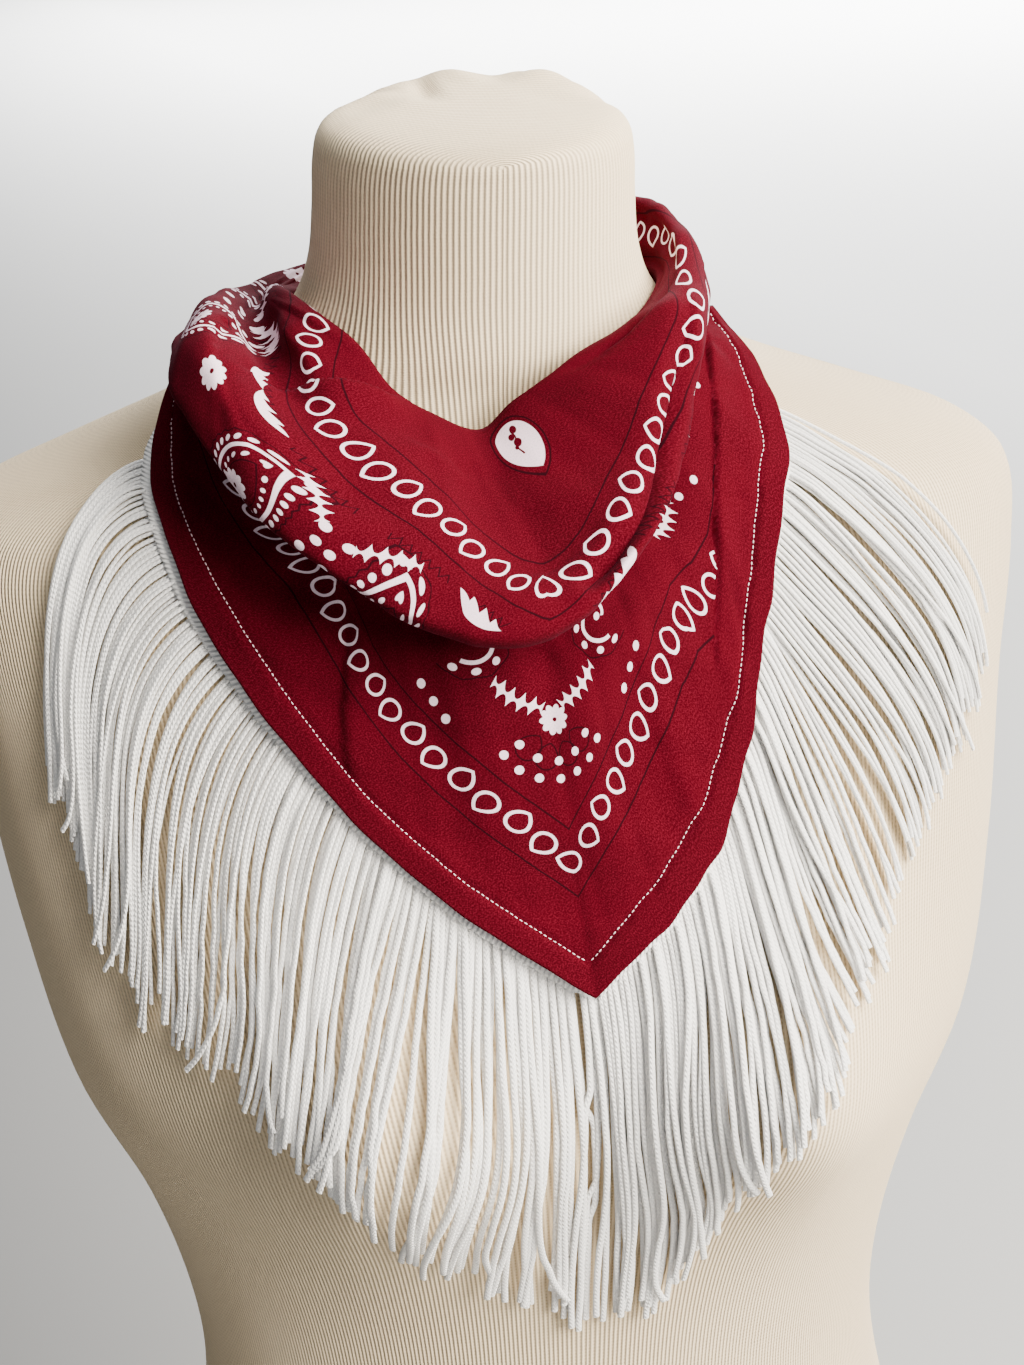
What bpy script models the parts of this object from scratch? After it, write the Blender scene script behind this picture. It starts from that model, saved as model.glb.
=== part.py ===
import bpy
import math
import numpy as np
from mathutils import Vector
from mathutils.bvhtree import BVHTree

for old in list(bpy.data.objects):
    bpy.data.objects.remove(old, do_unlink=True)

mm = 0.001

# ---------- driving sizes, in millimetres ----------
CENTRE_Y = -17.1         # middle of the whole object, brought to the origin
NECK_AXIS_Y = 20.0       # the line that angles and radii are measured from
NECK_TOP = 732.0         # height of the form before its cap is tilted
CAP_TILT = 0.20          # rise of the cap from front to back
CAP_TILT_START = 640.0
FORM_SIDES = 44
CLOTH = 1.6              # thickness of the cotton wall
SEAM_GAP = 0.3
TAPE_HEIGHT = 7.0
TAPE_SHOWS = 1.6         # how far the tape hangs below the hem
TAPE_INNER_GAP = 1.4     # tape to form, inner and outer face
TAPE_OUTER_GAP = 4.6
BIB_GAP = 6.4            # middle of the bib wall to form, at the least
STRANDS_RIGHT = 80
STRANDS_LEFT = 72
STRAND_STEPS = 7
STRAND_GAPS = (3.1, 5.2)  # lower and upper row of strands, middle to form
STRAND_BOW = 45.0        # how far a strand swings out from the straight line
STRAND_HALF = 0.75
LIP_OVER_BIB = 0.8       # clearance of the turned-back lip over the bib
TAIL_GAP = 4.0
KNOT_HALF = (18.5, 12.0, 15.0)

# torso and neck, one row per ring: height, half width, front, back, squareness
FORM_RINGS = (
    (0, 136, -90, 104, 2.3),
    (25, 146, -95, 110, 2.3),
    (50, 155, -100, 114, 2.3),
    (100, 165, -104, 112, 2.25),
    (135, 162, -104, 104, 2.2),
    (170, 154, -102, 93, 2.2),
    (230, 136, -97, 69, 2.15),
    (276, 128, -98, 58, 2.1),
    (315, 131, -104, 61, 2.1),
    (361, 144, -113, 73, 2.15),
    (406, 165, -116, 85, 2.2),
    (461, 178, -102, 96, 2.3),
    (521, 188, -81, 105, 2.35),
    (562, 197, -64, 108, 2.3),
    (592, 198, -49, 107, 2.15),
    (608, 180, -37, 105, 2.0),
    (622, 144, -29, 100, 1.9),
    (636, 107, -28, 92, 1.9),
    (649, 79, -31, 84, 1.95),
    (665, 64, -33, 78, 2.0),
    (680, 58, -36, 72, 2.0),
    (698, 56, -40, 66, 2.0),
    (716, 55, -44, 61, 2.0),
    (725, 52, -45, 57, 2.0),
    (729, 45, -41, 50, 2.0),
    (731, 33, -30, 40, 2.0),
    (732, 16, -13, 24, 2.0),
)
# the bust: side, height, spread across, spread up, depth
BUST = (72.0, 412.0, 46.0, 50.0, 38.0)

# cowl and wraps, one row per section along the scarf, tail to tail.
# share, then (angle, radius, height) of each fold line, then how far the lip turns back
COWL_SECTIONS = (
    # share   neck fold        inner line       valley           ridge            lip            turn
    (-2.00, (-166.7, 66, 662), (-166.7, 69, 671), (-166.7, 75, 676), (-166.7, 81, 673), (-166.7, 86, 659), 9),
    (-1.50, (-122, 67, 665), (-122, 70, 668), (-122, 74, 667), (-122, 80, 667), (-120, 88, 655), 10),
    (-1.00, (-78, 70, 672), (-76, 76, 669), (-77, 81, 661), (-76, 98, 671), (-78, 110, 657), 14),
    (-0.75, (-50, 69, 661), (-58, 81, 662), (-61, 89, 655), (-62, 112, 664), (-62, 125, 648), 18),
    (-0.50, (-37, 66, 643), (-42, 86, 644), (-44, 101, 637), (-45, 121, 638), (-43, 131, 616), 20),
    (-0.25, (-24, 62, 633), (-20, 90, 617), (-21, 110, 604), (-21, 122, 594), (-22, 128, 584), 20),
    (0.00, (-10, 59, 627), (0, 97, 598), (-1, 111, 589), (-1, 119, 582), (-2, 123, 574), 20),
    (0.25, (1, 59, 636), (18, 88, 616), (18, 101, 608), (17, 108, 603), (18, 111, 597), 17),
    (0.50, (13, 61, 644), (32, 82, 641), (35, 87, 635), (37, 90, 629), (39, 90, 619), 10),
    (0.75, (26, 63, 652), (42, 78, 662), (47, 83, 661), (51, 86, 656), (54, 85, 645), 8),
    (1.00, (48, 64, 658), (58, 71, 667), (64, 75, 671), (69, 80, 669), (73, 82, 659), 8),
    (1.25, (78, 67, 668), (84, 69, 675), (89, 73, 681), (93, 78, 679), (97, 82, 666), 7),
    (1.50, (106, 68, 668), (109, 70, 677), (112, 74, 685), (114, 79, 685), (116, 84, 671), 7),
    (2.00, (166.8, 66, 662), (166.8, 69, 672), (166.8, 75, 679), (166.8, 81, 676), (166.8, 86, 662), 9),
)

# bib, one row per section: share, then (angle, radius, height) of its hidden top,
# the line under the lip, the teardrop row and the hem
BIB_SECTIONS = (
    (-1.00, (-82, 81, 657), (-82, 90, 653), (-84, 98, 650), (-87, 106, 648)),
    (-0.75, (-58, 90, 646), (-58, 99, 633), (-61, 108, 621), (-73, 125, 619)),
    (-0.62, (-49, 90, 634), (-49, 102, 618), (-50, 110, 604), (-62, 132, 596)),
    (-0.50, (-42, 90, 622), (-42, 103, 603), (-41, 108, 590), (-53, 133, 568)),
    (-0.25, (-24, 86, 600), (-26, 101, 580), (-27, 111, 545), (-30, 128, 508)),
    (0.00, (0, 82, 584), (0, 100, 562), (1, 120, 495), (2, 136, 452)),
    (0.25, (19, 84, 606), (20, 96, 586), (20, 107, 550), (24, 130, 494)),
    (0.50, (34, 73, 630), (37, 79, 616), (42, 93, 602), (44, 117, 567)),
    (0.75, (53, 71, 647), (55, 76, 642), (59, 88, 632), (65, 108, 619)),
    (1.00, (74, 73, 655), (76, 76, 655), (80, 79, 655), (84, 84, 654)),
)

# where the fringe ends hang: share along the hem, then angle, radius, height
FRINGE_ENDS = (
    (-0.80, 68, 176, 525),
    (-0.70, 65, 173, 507),
    (-0.55, 59, 174, 460),
    (-0.42, 49, 170, 441),
    (-0.32, 37, 177, 420),
    (-0.20, 27, 182, 402),
    (-0.10, 17, 145, 355),
    (0.00, -2, 129, 328),
    (0.10, -12, 133, 340),
    (0.20, -17, 160, 378),
    (0.30, -22, 178, 410),
    (0.42, -38, 168, 445),
    (0.52, -54, 164, 485),
    (0.66, -63, 172, 507),
    (0.80, -71, 178, 536),
)


def material(name, colour, roughness):
    mat = bpy.data.materials.new(name)
    mat.use_nodes = True
    shader = mat.node_tree.nodes["Principled BSDF"]
    shader.inputs["Base Color"].default_value = (*colour, 1.0)
    shader.inputs["Roughness"].default_value = roughness
    return mat


COTTON = (0.26, 0.012, 0.022)
JERSEY = (0.70, 0.62, 0.49)
CORD = (0.82, 0.81, 0.80)

scarf = bpy.data.collections.new("fringed_scarf")
bpy.context.scene.collection.children.link(scarf)


def add_object(name, verts, faces, colour, roughness):
    mesh = bpy.data.meshes.new(name)
    mesh.from_pydata([(v[0] * mm, (v[1] - CENTRE_Y) * mm, v[2] * mm) for v in verts], [], faces)
    mesh.update()
    obj = bpy.data.objects.new(name, mesh)
    obj.data.materials.append(material(name + "_finish", colour, roughness))
    scarf.objects.link(obj)
    return obj


def spline(xs, rows, x):
    """Smooth curve through rows of numbers set at xs, read at x."""
    rows = np.asarray(rows, float)
    i = min(max(int(np.searchsorted(xs, x)) - 1, 0), len(xs) - 2)
    slope = []
    for k in (i, i + 1):
        lo, hi = max(k - 1, 0), min(k + 1, len(xs) - 1)
        slope.append((rows[hi] - rows[lo]) / (xs[hi] - xs[lo]))
    w = xs[i + 1] - xs[i]
    t = (x - xs[i]) / w
    return ((2 * t ** 3 - 3 * t ** 2 + 1) * rows[i] + (t ** 3 - 2 * t ** 2 + t) * w * slope[0]
            + (3 * t ** 2 - 2 * t ** 3) * rows[i + 1] + (t ** 3 - t ** 2) * w * slope[1])


def polar(angle, radius, height):
    a = math.radians(angle)
    return np.array((radius * math.sin(a), NECK_AXIS_Y - radius * math.cos(a), height))


# ---------- dress form ----------
def form_point(angle, row):
    height, half, front, back, square = row
    middle, depth = (front + back) / 2, (back - front) / 2
    s, c = math.sin(angle), math.cos(angle)
    x = half * math.copysign(abs(s) ** (2 / square), s)
    y = middle - depth * math.copysign(abs(c) ** (2 / square), c)
    side, level, across, up, deep = BUST
    y -= (deep * math.exp(-((abs(x) - side) / across) ** 2 - ((height - level) / up) ** 2)
          * min(max(c + 0.15, 0.0), 1.0))
    t = max(height - CAP_TILT_START, 0.0) / (NECK_TOP - CAP_TILT_START)
    return np.array((x, y, height + CAP_TILT * t * t * (y - middle)))


ring_heights = [row[0] for row in FORM_RINGS]


def form_grid(heights, sides):
    rows = [spline(ring_heights, FORM_RINGS, h) for h in heights]
    return [[form_point(2 * math.pi * k / sides, row) for k in range(sides)] for row in rows]


def ring_faces(rings, sides):
    return [(r * sides + k, r * sides + (k + 1) % sides,
             (r + 1) * sides + (k + 1) % sides, (r + 1) * sides + k)
            for r in range(rings - 1) for k in range(sides)]


heights = np.concatenate((np.arange(0, 300, 30.0), np.arange(300, 580, 16.0),
                          (578, 590, 599, 608, 616, 624, 632, 641, 650, 660, 672, 686, 700, 714),
                          (722, 727, 730, 732)))
grid = form_grid(heights, FORM_SIDES)
points = [p for ring in grid for p in ring]
faces = ring_faces(len(grid), FORM_SIDES)
faces.append(tuple(reversed(range(FORM_SIDES))))
faces.append(tuple(range(len(points) - FORM_SIDES, len(points))))
add_object("dress_form", points, faces, JERSEY, 0.9)
skin = BVHTree.FromPolygons([Vector(p) for p in points], faces)


def on_form(p, gap):
    spot, normal, _, _ = skin.find_nearest(Vector(p))
    return np.array(spot) + gap * np.array(normal), np.array(normal)


def clear(p, gap):
    """Lift a point out of the form to at least this gap."""
    spot, normal = on_form(p, gap)
    return spot if np.dot(p - spot, normal) < 0 else p


# ---------- cloth walls ----------
def grid_normals(net):
    across = np.gradient(net, axis=0)
    down = np.gradient(net, axis=1)
    n = np.cross(down, across)
    return n / np.maximum(np.linalg.norm(n, axis=2, keepdims=True), 1e-9)


def wall(name, net, n=None):
    """Closed cloth wall with its middle on a net of points."""
    net = np.asarray(net)
    n = grid_normals(net) if n is None else n
    cols, rows = net.shape[:2]
    verts = list((net + n * CLOTH / 2).reshape(-1, 3)) + list((net - n * CLOTH / 2).reshape(-1, 3))
    half = cols * rows

    def at(c, r, side):
        return side * half + c * rows + r

    faces = []
    for c in range(cols - 1):
        for r in range(rows - 1):
            faces.append((at(c, r, 0), at(c, r + 1, 0), at(c + 1, r + 1, 0), at(c + 1, r, 0)))
            faces.append((at(c, r, 1), at(c + 1, r, 1), at(c + 1, r + 1, 1), at(c, r + 1, 1)))
    for c in range(cols - 1):
        faces.append((at(c, 0, 0), at(c + 1, 0, 0), at(c + 1, 0, 1), at(c, 0, 1)))
        faces.append((at(c, rows - 1, 0), at(c, rows - 1, 1), at(c + 1, rows - 1, 1),
                      at(c + 1, rows - 1, 0)))
    for r in range(rows - 1):
        faces.append((at(0, r, 0), at(0, r, 1), at(0, r + 1, 1), at(0, r + 1, 0)))
        faces.append((at(cols - 1, r, 0), at(cols - 1, r + 1, 0), at(cols - 1, r + 1, 1),
                      at(cols - 1, r, 1)))
    return add_object(name, verts, faces, COTTON, 0.85)


cowl_shares = [row[0] for row in COWL_SECTIONS]


def cowl_profile(share, steps):
    """Points from the neck fold over the ridge to the turned-back lip."""
    folds = [polar(*spline(cowl_shares, [row[k] for row in COWL_SECTIONS], share))
             for k in range(1, 6)]
    turn = float(spline(cowl_shares, [[row[6]] for row in COWL_SECTIONS], share)[0])
    lip = folds[-1]
    inward = np.array((-lip[0], NECK_AXIS_Y - lip[1], 0.0))
    inward /= np.linalg.norm(inward)
    folds.append(lip + inward * turn * 0.3 + np.array((0, 0, -turn * 0.18)))
    folds.append(lip + inward * turn + np.array((0, 0, turn * 0.42)))
    marks = (0.0, 0.25, 0.42, 0.58, 0.74, 0.84, 1.0)
    profile = [spline(marks, folds, t) for t in np.linspace(0.0, 1.0, steps)]
    gap = BIB_GAP + 2 * CLOTH + LIP_OVER_BIB if abs(share) < 1.3 else BIB_GAP
    return [clear(p, gap) if k > steps * 0.6 else p for k, p in enumerate(profile)]


def seam_end(net, here, near):
    """Pull one end section in by half a seam gap."""
    step = net[near] - net[here]
    net[here] += step / np.linalg.norm(step, axis=1, keepdims=True) * SEAM_GAP * 0.6


sheet = np.array([cowl_profile(s, 15) for s in np.linspace(-2.0, 2.0, 51)])
sheet_normals = grid_normals(sheet)
for name, first, last in (("scarf_right_wrap", 0, 12), ("scarf_cowl", 12, 38),
                          ("scarf_left_wrap", 38, 50)):
    part = sheet[first:last + 1].copy()
    if first > 0:
        seam_end(part, 0, 1)
    if last < 50:
        seam_end(part, -1, -2)
    wall(name, part, sheet_normals[first:last + 1])


def bib_line(share, k):
    """A line of the bib, with a true corner where its two arms meet."""
    arm = [row for row in BIB_SECTIONS if row[0] * share >= 0]
    return polar(*spline([row[0] for row in arm], [row[k] for row in arm], share))


def bib_profile(share, steps):
    lines = [bib_line(share, k) for k in range(1, 5)]
    return [clear(spline((0.0, 0.2, 0.5, 1.0), lines, t), BIB_GAP)
            for t in np.linspace(0.0, 1.0, steps)]


wall("scarf_bib", [bib_profile(s, 9) for s in np.linspace(-1.0, 1.0, 27)])


# ---------- fringe ----------
end_shares = [row[0] for row in FRINGE_ENDS]
end_places = [row[1:] for row in FRINGE_ENDS]


def fringe(name, first, last, count):
    """A tape with strands drawn out of its lower edge, as one body."""
    verts, faces = [], []
    shares = np.linspace(first, last, count + 1)
    middle = (TAPE_INNER_GAP + TAPE_OUTER_GAP) / 2
    for s in shares:
        hem = bib_line(s, 4)
        up = bib_profile(s, 9)[-3] - hem
        up /= np.linalg.norm(up)
        low, high = hem - up * TAPE_SHOWS, hem + up * (TAPE_HEIGHT - TAPE_SHOWS)
        ring = [on_form(high, TAPE_INNER_GAP)[0], on_form(low, TAPE_INNER_GAP)[0],
                on_form(low, middle)[0], on_form(low, TAPE_OUTER_GAP)[0],
                on_form(high, TAPE_OUTER_GAP)[0]]
        verts.extend(ring)
    for i in range(count):
        a, b = i * 5, (i + 1) * 5
        for k in (0, 3, 4):
            n = (k + 1) % 5
            faces.append((a + k, a + n, b + n, b + k))
        row = i % 2
        plain = 2 - row
        faces.append((a + plain, a + plain + 1, b + plain + 1, b + plain))
        k = row + 1
        root = [a + k, a + k + 1, b + k + 1, b + k]
        faces.append((root[0], root[2], root[3]))
        ring = root[:3]
        start = sum(verts[v] for v in ring) / 3
        share = (shares[i] + shares[i + 1]) / 2
        angle, radius, height = spline(end_shares, end_places, share)
        end = polar(-angle, radius, height)
        gap = STRAND_GAPS[row]
        bow = (on_form(start, 0.0)[1] + on_form(end, 0.0)[1]) * STRAND_BOW
        for step in range(1, STRAND_STEPS + 1):
            t = step / STRAND_STEPS
            here, normal = on_form(start + (end - start) * t + bow * t * (1 - t), gap)
            ahead = end - start
            side = np.cross(normal, ahead)
            side /= np.linalg.norm(side)
            side *= STRAND_HALF
            low = here - normal * STRAND_HALF * 0.65
            corners = [low - side, here - side * 0.13 + normal * STRAND_HALF * 0.8, low + side]
            base = len(verts)
            verts.extend(corners)
            new = [base, base + 1, base + 2]
            for e in range(3):
                f = (e + 1) % 3
                faces.append((ring[e], ring[f], new[f], new[e]))
            ring = new
        faces.append(tuple(ring))
    faces.append((4, 3, 2, 1, 0))
    last_ring = count * 5
    faces.append(tuple(last_ring + k for k in range(5)))
    return add_object(name, verts, [f[::-1] for f in faces], CORD, 0.75)


fringe("fringe_right", -0.79, -0.006, STRANDS_RIGHT)
fringe("fringe_left", 0.006, 0.79, STRANDS_LEFT)


# ---------- knot and tails ----------
def lump(name, centre, half, sides, rings):
    verts, faces = [], []
    for r in range(1, rings):
        u = math.pi * r / rings
        for k in range(sides):
            v = 2 * math.pi * k / sides
            fold = 1 + 0.07 * math.cos(3 * v + 2.2 * u)
            verts.append(np.array(centre) + np.array((
                half[0] * fold * math.sin(u) * math.cos(v),
                half[1] * fold * math.sin(u) * math.sin(v), half[2] * math.cos(u))))
    faces = [tuple(reversed(f)) for f in ring_faces(rings - 1, sides)]
    verts += [np.array(centre) + (0, 0, half[2]), np.array(centre) - (0, 0, half[2])]
    top, bottom = len(verts) - 2, len(verts) - 1
    base = (rings - 2) * sides
    for k in range(sides):
        n = (k + 1) % sides
        faces.append((top, k, n))
        faces.append((bottom, base + n, base + k))
    return add_object(name, verts, faces, COTTON, 0.85)


lump("scarf_knot", (0, NECK_AXIS_Y + 77, 668), KNOT_HALF, 20, 12)


# middle line of a tail: share down it, side, back, height, width
TAIL_LINE = (
    (0.0, 6, 97, 653.4, 9),
    (0.2, 12, 103, 632, 22),
    (0.5, 24, 110, 601, 33),
    (0.8, 36, 114, 572, 26),
    (1.0, 43, 115, 552, 9),
)


tail_shares = [row[0] for row in TAIL_LINE]
tail_places = [row[1:] for row in TAIL_LINE]


def tail(name, side):
    net = []
    for c in range(7):
        across = c / 6 - 0.5
        column = []
        for t in np.linspace(0.0, 1.0, 10):
            x, y, z, width = spline(tail_shares, tail_places, t)
            pleat = 2.5 * math.cos(across * 9) * (1 - t)
            p = np.array((side * x + across * width, y + pleat,
                          z + side * across * width * 0.35))
            column.append(clear(p, TAIL_GAP))
        net.append(column)
    return wall(name, net)


tail("scarf_left_tail", 1)
tail("scarf_right_tail", -1)
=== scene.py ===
import math
from functools import partialmethod
import bpy
import numpy as np
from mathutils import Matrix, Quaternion, Vector
from mathutils.bvhtree import BVHTree


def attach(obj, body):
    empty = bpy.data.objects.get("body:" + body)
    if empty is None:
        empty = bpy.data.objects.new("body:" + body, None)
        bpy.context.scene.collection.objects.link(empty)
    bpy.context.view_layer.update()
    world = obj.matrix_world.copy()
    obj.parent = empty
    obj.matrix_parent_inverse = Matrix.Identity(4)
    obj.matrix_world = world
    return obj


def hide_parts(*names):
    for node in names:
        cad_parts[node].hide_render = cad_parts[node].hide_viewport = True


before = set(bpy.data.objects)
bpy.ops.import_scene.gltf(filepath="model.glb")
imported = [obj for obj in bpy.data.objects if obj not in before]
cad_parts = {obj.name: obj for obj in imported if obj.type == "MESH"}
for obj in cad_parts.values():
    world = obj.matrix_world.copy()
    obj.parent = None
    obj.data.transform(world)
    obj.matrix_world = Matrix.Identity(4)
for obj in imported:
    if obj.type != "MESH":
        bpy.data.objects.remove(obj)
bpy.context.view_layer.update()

mm = 0.001
frontShift = 17.1      # the tables stand this much further forward than the frame, mm
neckAxis = 20.0      # the line that angles and radii are measured from, mm
foldJump = 4.0      # a face that spans more print than this crosses a pleat, mm


def toFrame(points):
    return (np.asarray(points, float) + (0.0, frontShift, 0.0)) * mm


def spline(xs, rows, x):      # smooth curve through rows set at xs
    rows = np.asarray(rows, float)
    i = min(max(int(np.searchsorted(xs, x)) - 1, 0), len(xs) - 2)
    slope = []
    for k in (i, i + 1):
        lo, hi = max(k - 1, 0), min(k + 1, len(xs) - 1)
        slope.append((rows[hi] - rows[lo]) / (xs[hi] - xs[lo]))
    w = xs[i + 1] - xs[i]
    t = (x - xs[i]) / w
    return ((2 * t ** 3 - 3 * t ** 2 + 1) * rows[i] + (t ** 3 - 2 * t ** 2 + t) * w * slope[0]
            + (3 * t ** 2 - 2 * t ** 3) * rows[i + 1] + (t ** 3 - t ** 2) * w * slope[1])


def armSpline(table, share, columns):      # one spline for each arm, so share 0 keeps a corner
    arm = [row for row in table if row[0] * share >= 0]
    return spline([row[0] for row in arm], [row[columns] for row in arm], share)


def polar(angle, radius, height):
    a = math.radians(angle)
    return np.array((radius * math.sin(a), neckAxis - radius * math.cos(a), height))


def unit(vector):
    return vector / np.linalg.norm(vector)


def lengths(points):      # how far along a line of points each of them lies
    return np.concatenate(((0.0,), np.cumsum(np.linalg.norm(np.diff(points, axis=0), axis=1))))


def dress(piece, slot, *nodes):      # part of the one body, in place of these nodes
    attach(piece, "root")
    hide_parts(*nodes)
    return piece


def meshPiece(name, points, faces, material, uv=None, uvName="clothMap"):
    mesh = bpy.data.meshes.new(name)
    mesh.from_pydata([tuple(p) for p in points], [], faces)
    if uv is not None:      # one pair a corner
        layer = mesh.uv_layers.new(name=uvName)
        layer.data.foreach_set("uv", np.asarray(uv, float).ravel())
    mesh.shade_smooth()
    mesh.update()
    piece = bpy.data.objects.new(name, mesh)
    bpy.context.scene.collection.objects.link(piece)
    mesh.materials.append(material)
    return piece


def netFaces(cols, rows):
    c, r = np.meshgrid(np.arange(cols - 1), np.arange(rows - 1), indexing="ij")
    first = (c * rows + r).ravel()
    return np.stack((first, first + 1, first + rows + 1, first + rows), 1)


def netPiece(name, net, flat, material, thickness):
    cols, rows = net.shape[:2]
    faces = netFaces(cols, rows)
    uv = flat.reshape(-1, 2)[faces]      # face, corner, pair
    depth = uv.min(axis=2)
    hidden = depth - depth.min(axis=1, keepdims=True) > foldJump
    nearest = uv[np.arange(len(uv)), depth.argmin(axis=1)][:, None]
    uv = np.where(hidden[..., None], nearest, uv) * mm      # cloth folded away isn't squeezed in
    piece = meshPiece(name, toFrame(net.reshape(-1, 3)), faces.tolist(), material, uv)
    wall = piece.modifiers.new("wall", "SOLIDIFY")
    wall.thickness = thickness * mm
    wall.offset = 0.0
    return plainMesh(piece)


def plainMesh(piece):      # modifiers into the mesh itself
    graph = bpy.context.evaluated_depsgraph_get()
    graph.update()
    mesh = bpy.data.meshes.new_from_object(piece.evaluated_get(graph), depsgraph=graph)
    piece.modifiers.clear()
    old = piece.data
    piece.data = mesh
    bpy.data.meshes.remove(old)
    mesh.name = piece.name
    return piece


def netNormals(net):
    n = np.cross(np.gradient(net, axis=1), np.gradient(net, axis=0))
    return n / np.maximum(np.linalg.norm(n, axis=2, keepdims=True), 1e-9)


def plug(tree, socket, value):      # a plain value, or another node's output
    if isinstance(value, Number):
        value = value.socket
    if isinstance(value, bpy.types.NodeSocket):
        tree.links.new(value, socket)
    else:
        socket.default_value = value


def addNode(tree, kind, inputs, **settings):      # inputs by name or by number
    node = tree.nodes.new(kind)
    for key, value in settings.items():
        setattr(node, key, value)
    for key, value in inputs.items():
        plug(tree, node.inputs[key], value)
    return node


class Number:      # an output of a material's nodes that can be reckoned with
    def __init__(self, tree, socket):
        self.tree = tree
        self.socket = socket

    def maths(self, operation, *others, clamp=False):
        values = dict(enumerate((self, *others)))
        node = addNode(self.tree, "ShaderNodeMath", values, operation=operation, use_clamp=clamp)
        return Number(self.tree, node.outputs[0])

    def clamped(self):      # kept between 0 and 1
        return self.maths("ADD", 0.0, clamp=True)

    def __rsub__(self, other):
        return self.maths("MULTIPLY_ADD", -1.0, other)


signs = {"add": "ADD", "sub": "SUBTRACT", "mul": "MULTIPLY", "truediv": "DIVIDE", "pow": "POWER",
         "abs": "ABSOLUTE", "gt": "GREATER_THAN", "lt": "LESS_THAN"}
for sign, operation in signs.items():
    setattr(Number, f"__{sign}__", partialmethod(Number.maths, operation))


def finish(name, roughness, sheen=0.0, specular=0.5):
    material = bpy.data.materials.new(name)
    material.use_nodes = True
    shader = material.node_tree.nodes["Principled BSDF"]
    shader.inputs["Roughness"].default_value = roughness
    shader.inputs["Sheen Weight"].default_value = sheen
    shader.inputs["Specular IOR Level"].default_value = specular
    return material.node_tree, shader, material


def mixColour(tree, amount, low, high):
    node = addNode(tree, "ShaderNodeMix", {}, data_type="RGBA")
    sockets = {s.identifier: s for s in node.inputs}
    for key, value in (("Factor_Float", amount), ("A_Color", low), ("B_Color", high)):
        plug(tree, sockets[key], (*value, 1.0) if isinstance(value, tuple) else value)
    return next(s for s in node.outputs if s.identifier == "Result_Color")


def mapUv(tree, name):
    return addNode(tree, "ShaderNodeUVMap", {}, uv_map=name).outputs[0]


def objectPlace(tree):
    return tree.nodes.new("ShaderNodeTexCoord").outputs["Object"]


def splitVector(tree, vector):
    node = addNode(tree, "ShaderNodeSeparateXYZ", {0: vector})
    return [Number(tree, part) for part in node.outputs]


def noiseValue(tree, vector, scale, detail=2.0):
    node = addNode(tree, "ShaderNodeTexNoise", {"Vector": vector, "Scale": scale, "Detail": detail})
    return Number(tree, node.outputs[0])


def waveOf(turns, kind="SINE"):      # 0 to 1 and back, once for each turn
    return (turns * (2 * math.pi)).maths(kind) * 0.5 + 0.5


def addBump(tree, shader, height, strength, distance):
    node = addNode(tree, "ShaderNodeBump", {"Height": height, "Strength": strength, "Distance": distance})
    plug(tree, shader.inputs["Normal"], node.outputs[0])


view = {
    "place": (-0.1652, -0.8809, 0.8185), "target": (-0.0017, -0.0105, 0.5347), "roll": -2.57,
    # the floor's colours run from painted shade at the front left to pale at the right and back
    "lens": 70.1, "floor": ((0.13, 0.13, 0.13), (0.80, 0.80, 0.79)), "floorSide": 30.0,
    "shadeRamp": (0.55, 0.04, 0.16),      # painted shade on the floor: how fast it grows paler to the right and to the back, and how pale it is at the middle
    # lights: name, place, what it points at, size, power, colour
    "lights": (("key", (1.55, -1.25, 1.70), (0.0, 0.0, 0.55), 2.1, 335.0, (1.0, 0.94, 0.84)),
               ("fill", (-0.5, -1.9, 0.9), (0.0, 0.0, 0.62), 1.2, 4.0, (0.90, 0.95, 1.0)),
               ("top", (0.2, -0.1, 2.3), (0.0, 0.0, 0.6), 1.0, 18.0, (1.0, 0.99, 0.97)),
               ("backdrop", (4.5, 11.0, 5.0), (2.0, 11.0, 0.0), 8.0, 6500.0, (1.0, 1.0, 1.0))),
    "sky": 0.13, "skyColour": (0.93, 0.96, 1.0),
}


def makeView():
    place, target = Vector(view["place"]), Vector(view["target"])
    camera = bpy.data.objects.new("camera", bpy.data.cameras.new("camera"))
    camera.data.lens = view["lens"]
    aim = (target - place).to_track_quat("-Z", "Y")
    camera.rotation_euler = (aim @ Quaternion((0, 0, 1), math.radians(view["roll"]))).to_euler()
    camera.location = place
    bpy.context.scene.collection.objects.link(camera)
    bpy.context.scene.camera = camera

    tree, shader, material = finish("shadedFloor", 0.9)
    x, y, _ = splitVector(tree, objectPlace(tree))
    right, back, middle = view["shadeRamp"]
    # painted shade: the floor is dark at the front left and grows paler to the right and back
    floorLit = (y * back + (x * right + middle)).clamped()
    plug(tree, shader.inputs["Base Color"], mixColour(tree, floorLit, *view["floor"]))
    side = view["floorSide"]
    floor = meshPiece("floor", [(-side, -side, 0), (side, -side, 0), (side, side, 0), (-side, side, 0)],
                      [(0, 1, 2, 3)], material)

    for name, spot, aimed, size, power, colour in view["lights"]:
        light = bpy.data.lights.new(name, "AREA")
        light.size = size
        light.energy = power
        light.color = colour
        lamp = bpy.data.objects.new(name, light)
        lamp.location = spot
        lamp.rotation_euler = (Vector(aimed) - Vector(spot)).to_track_quat("-Z", "Y").to_euler()
        bpy.context.scene.collection.objects.link(lamp)
    world = bpy.data.worlds.new("studio")
    world.use_nodes = True
    sky = world.node_tree.nodes["Background"]
    sky.inputs["Color"].default_value = (*view["skyColour"], 1.0)
    sky.inputs["Strength"].default_value = view["sky"]
    bpy.context.scene.world = world


makeView()
print("view ready")

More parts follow.
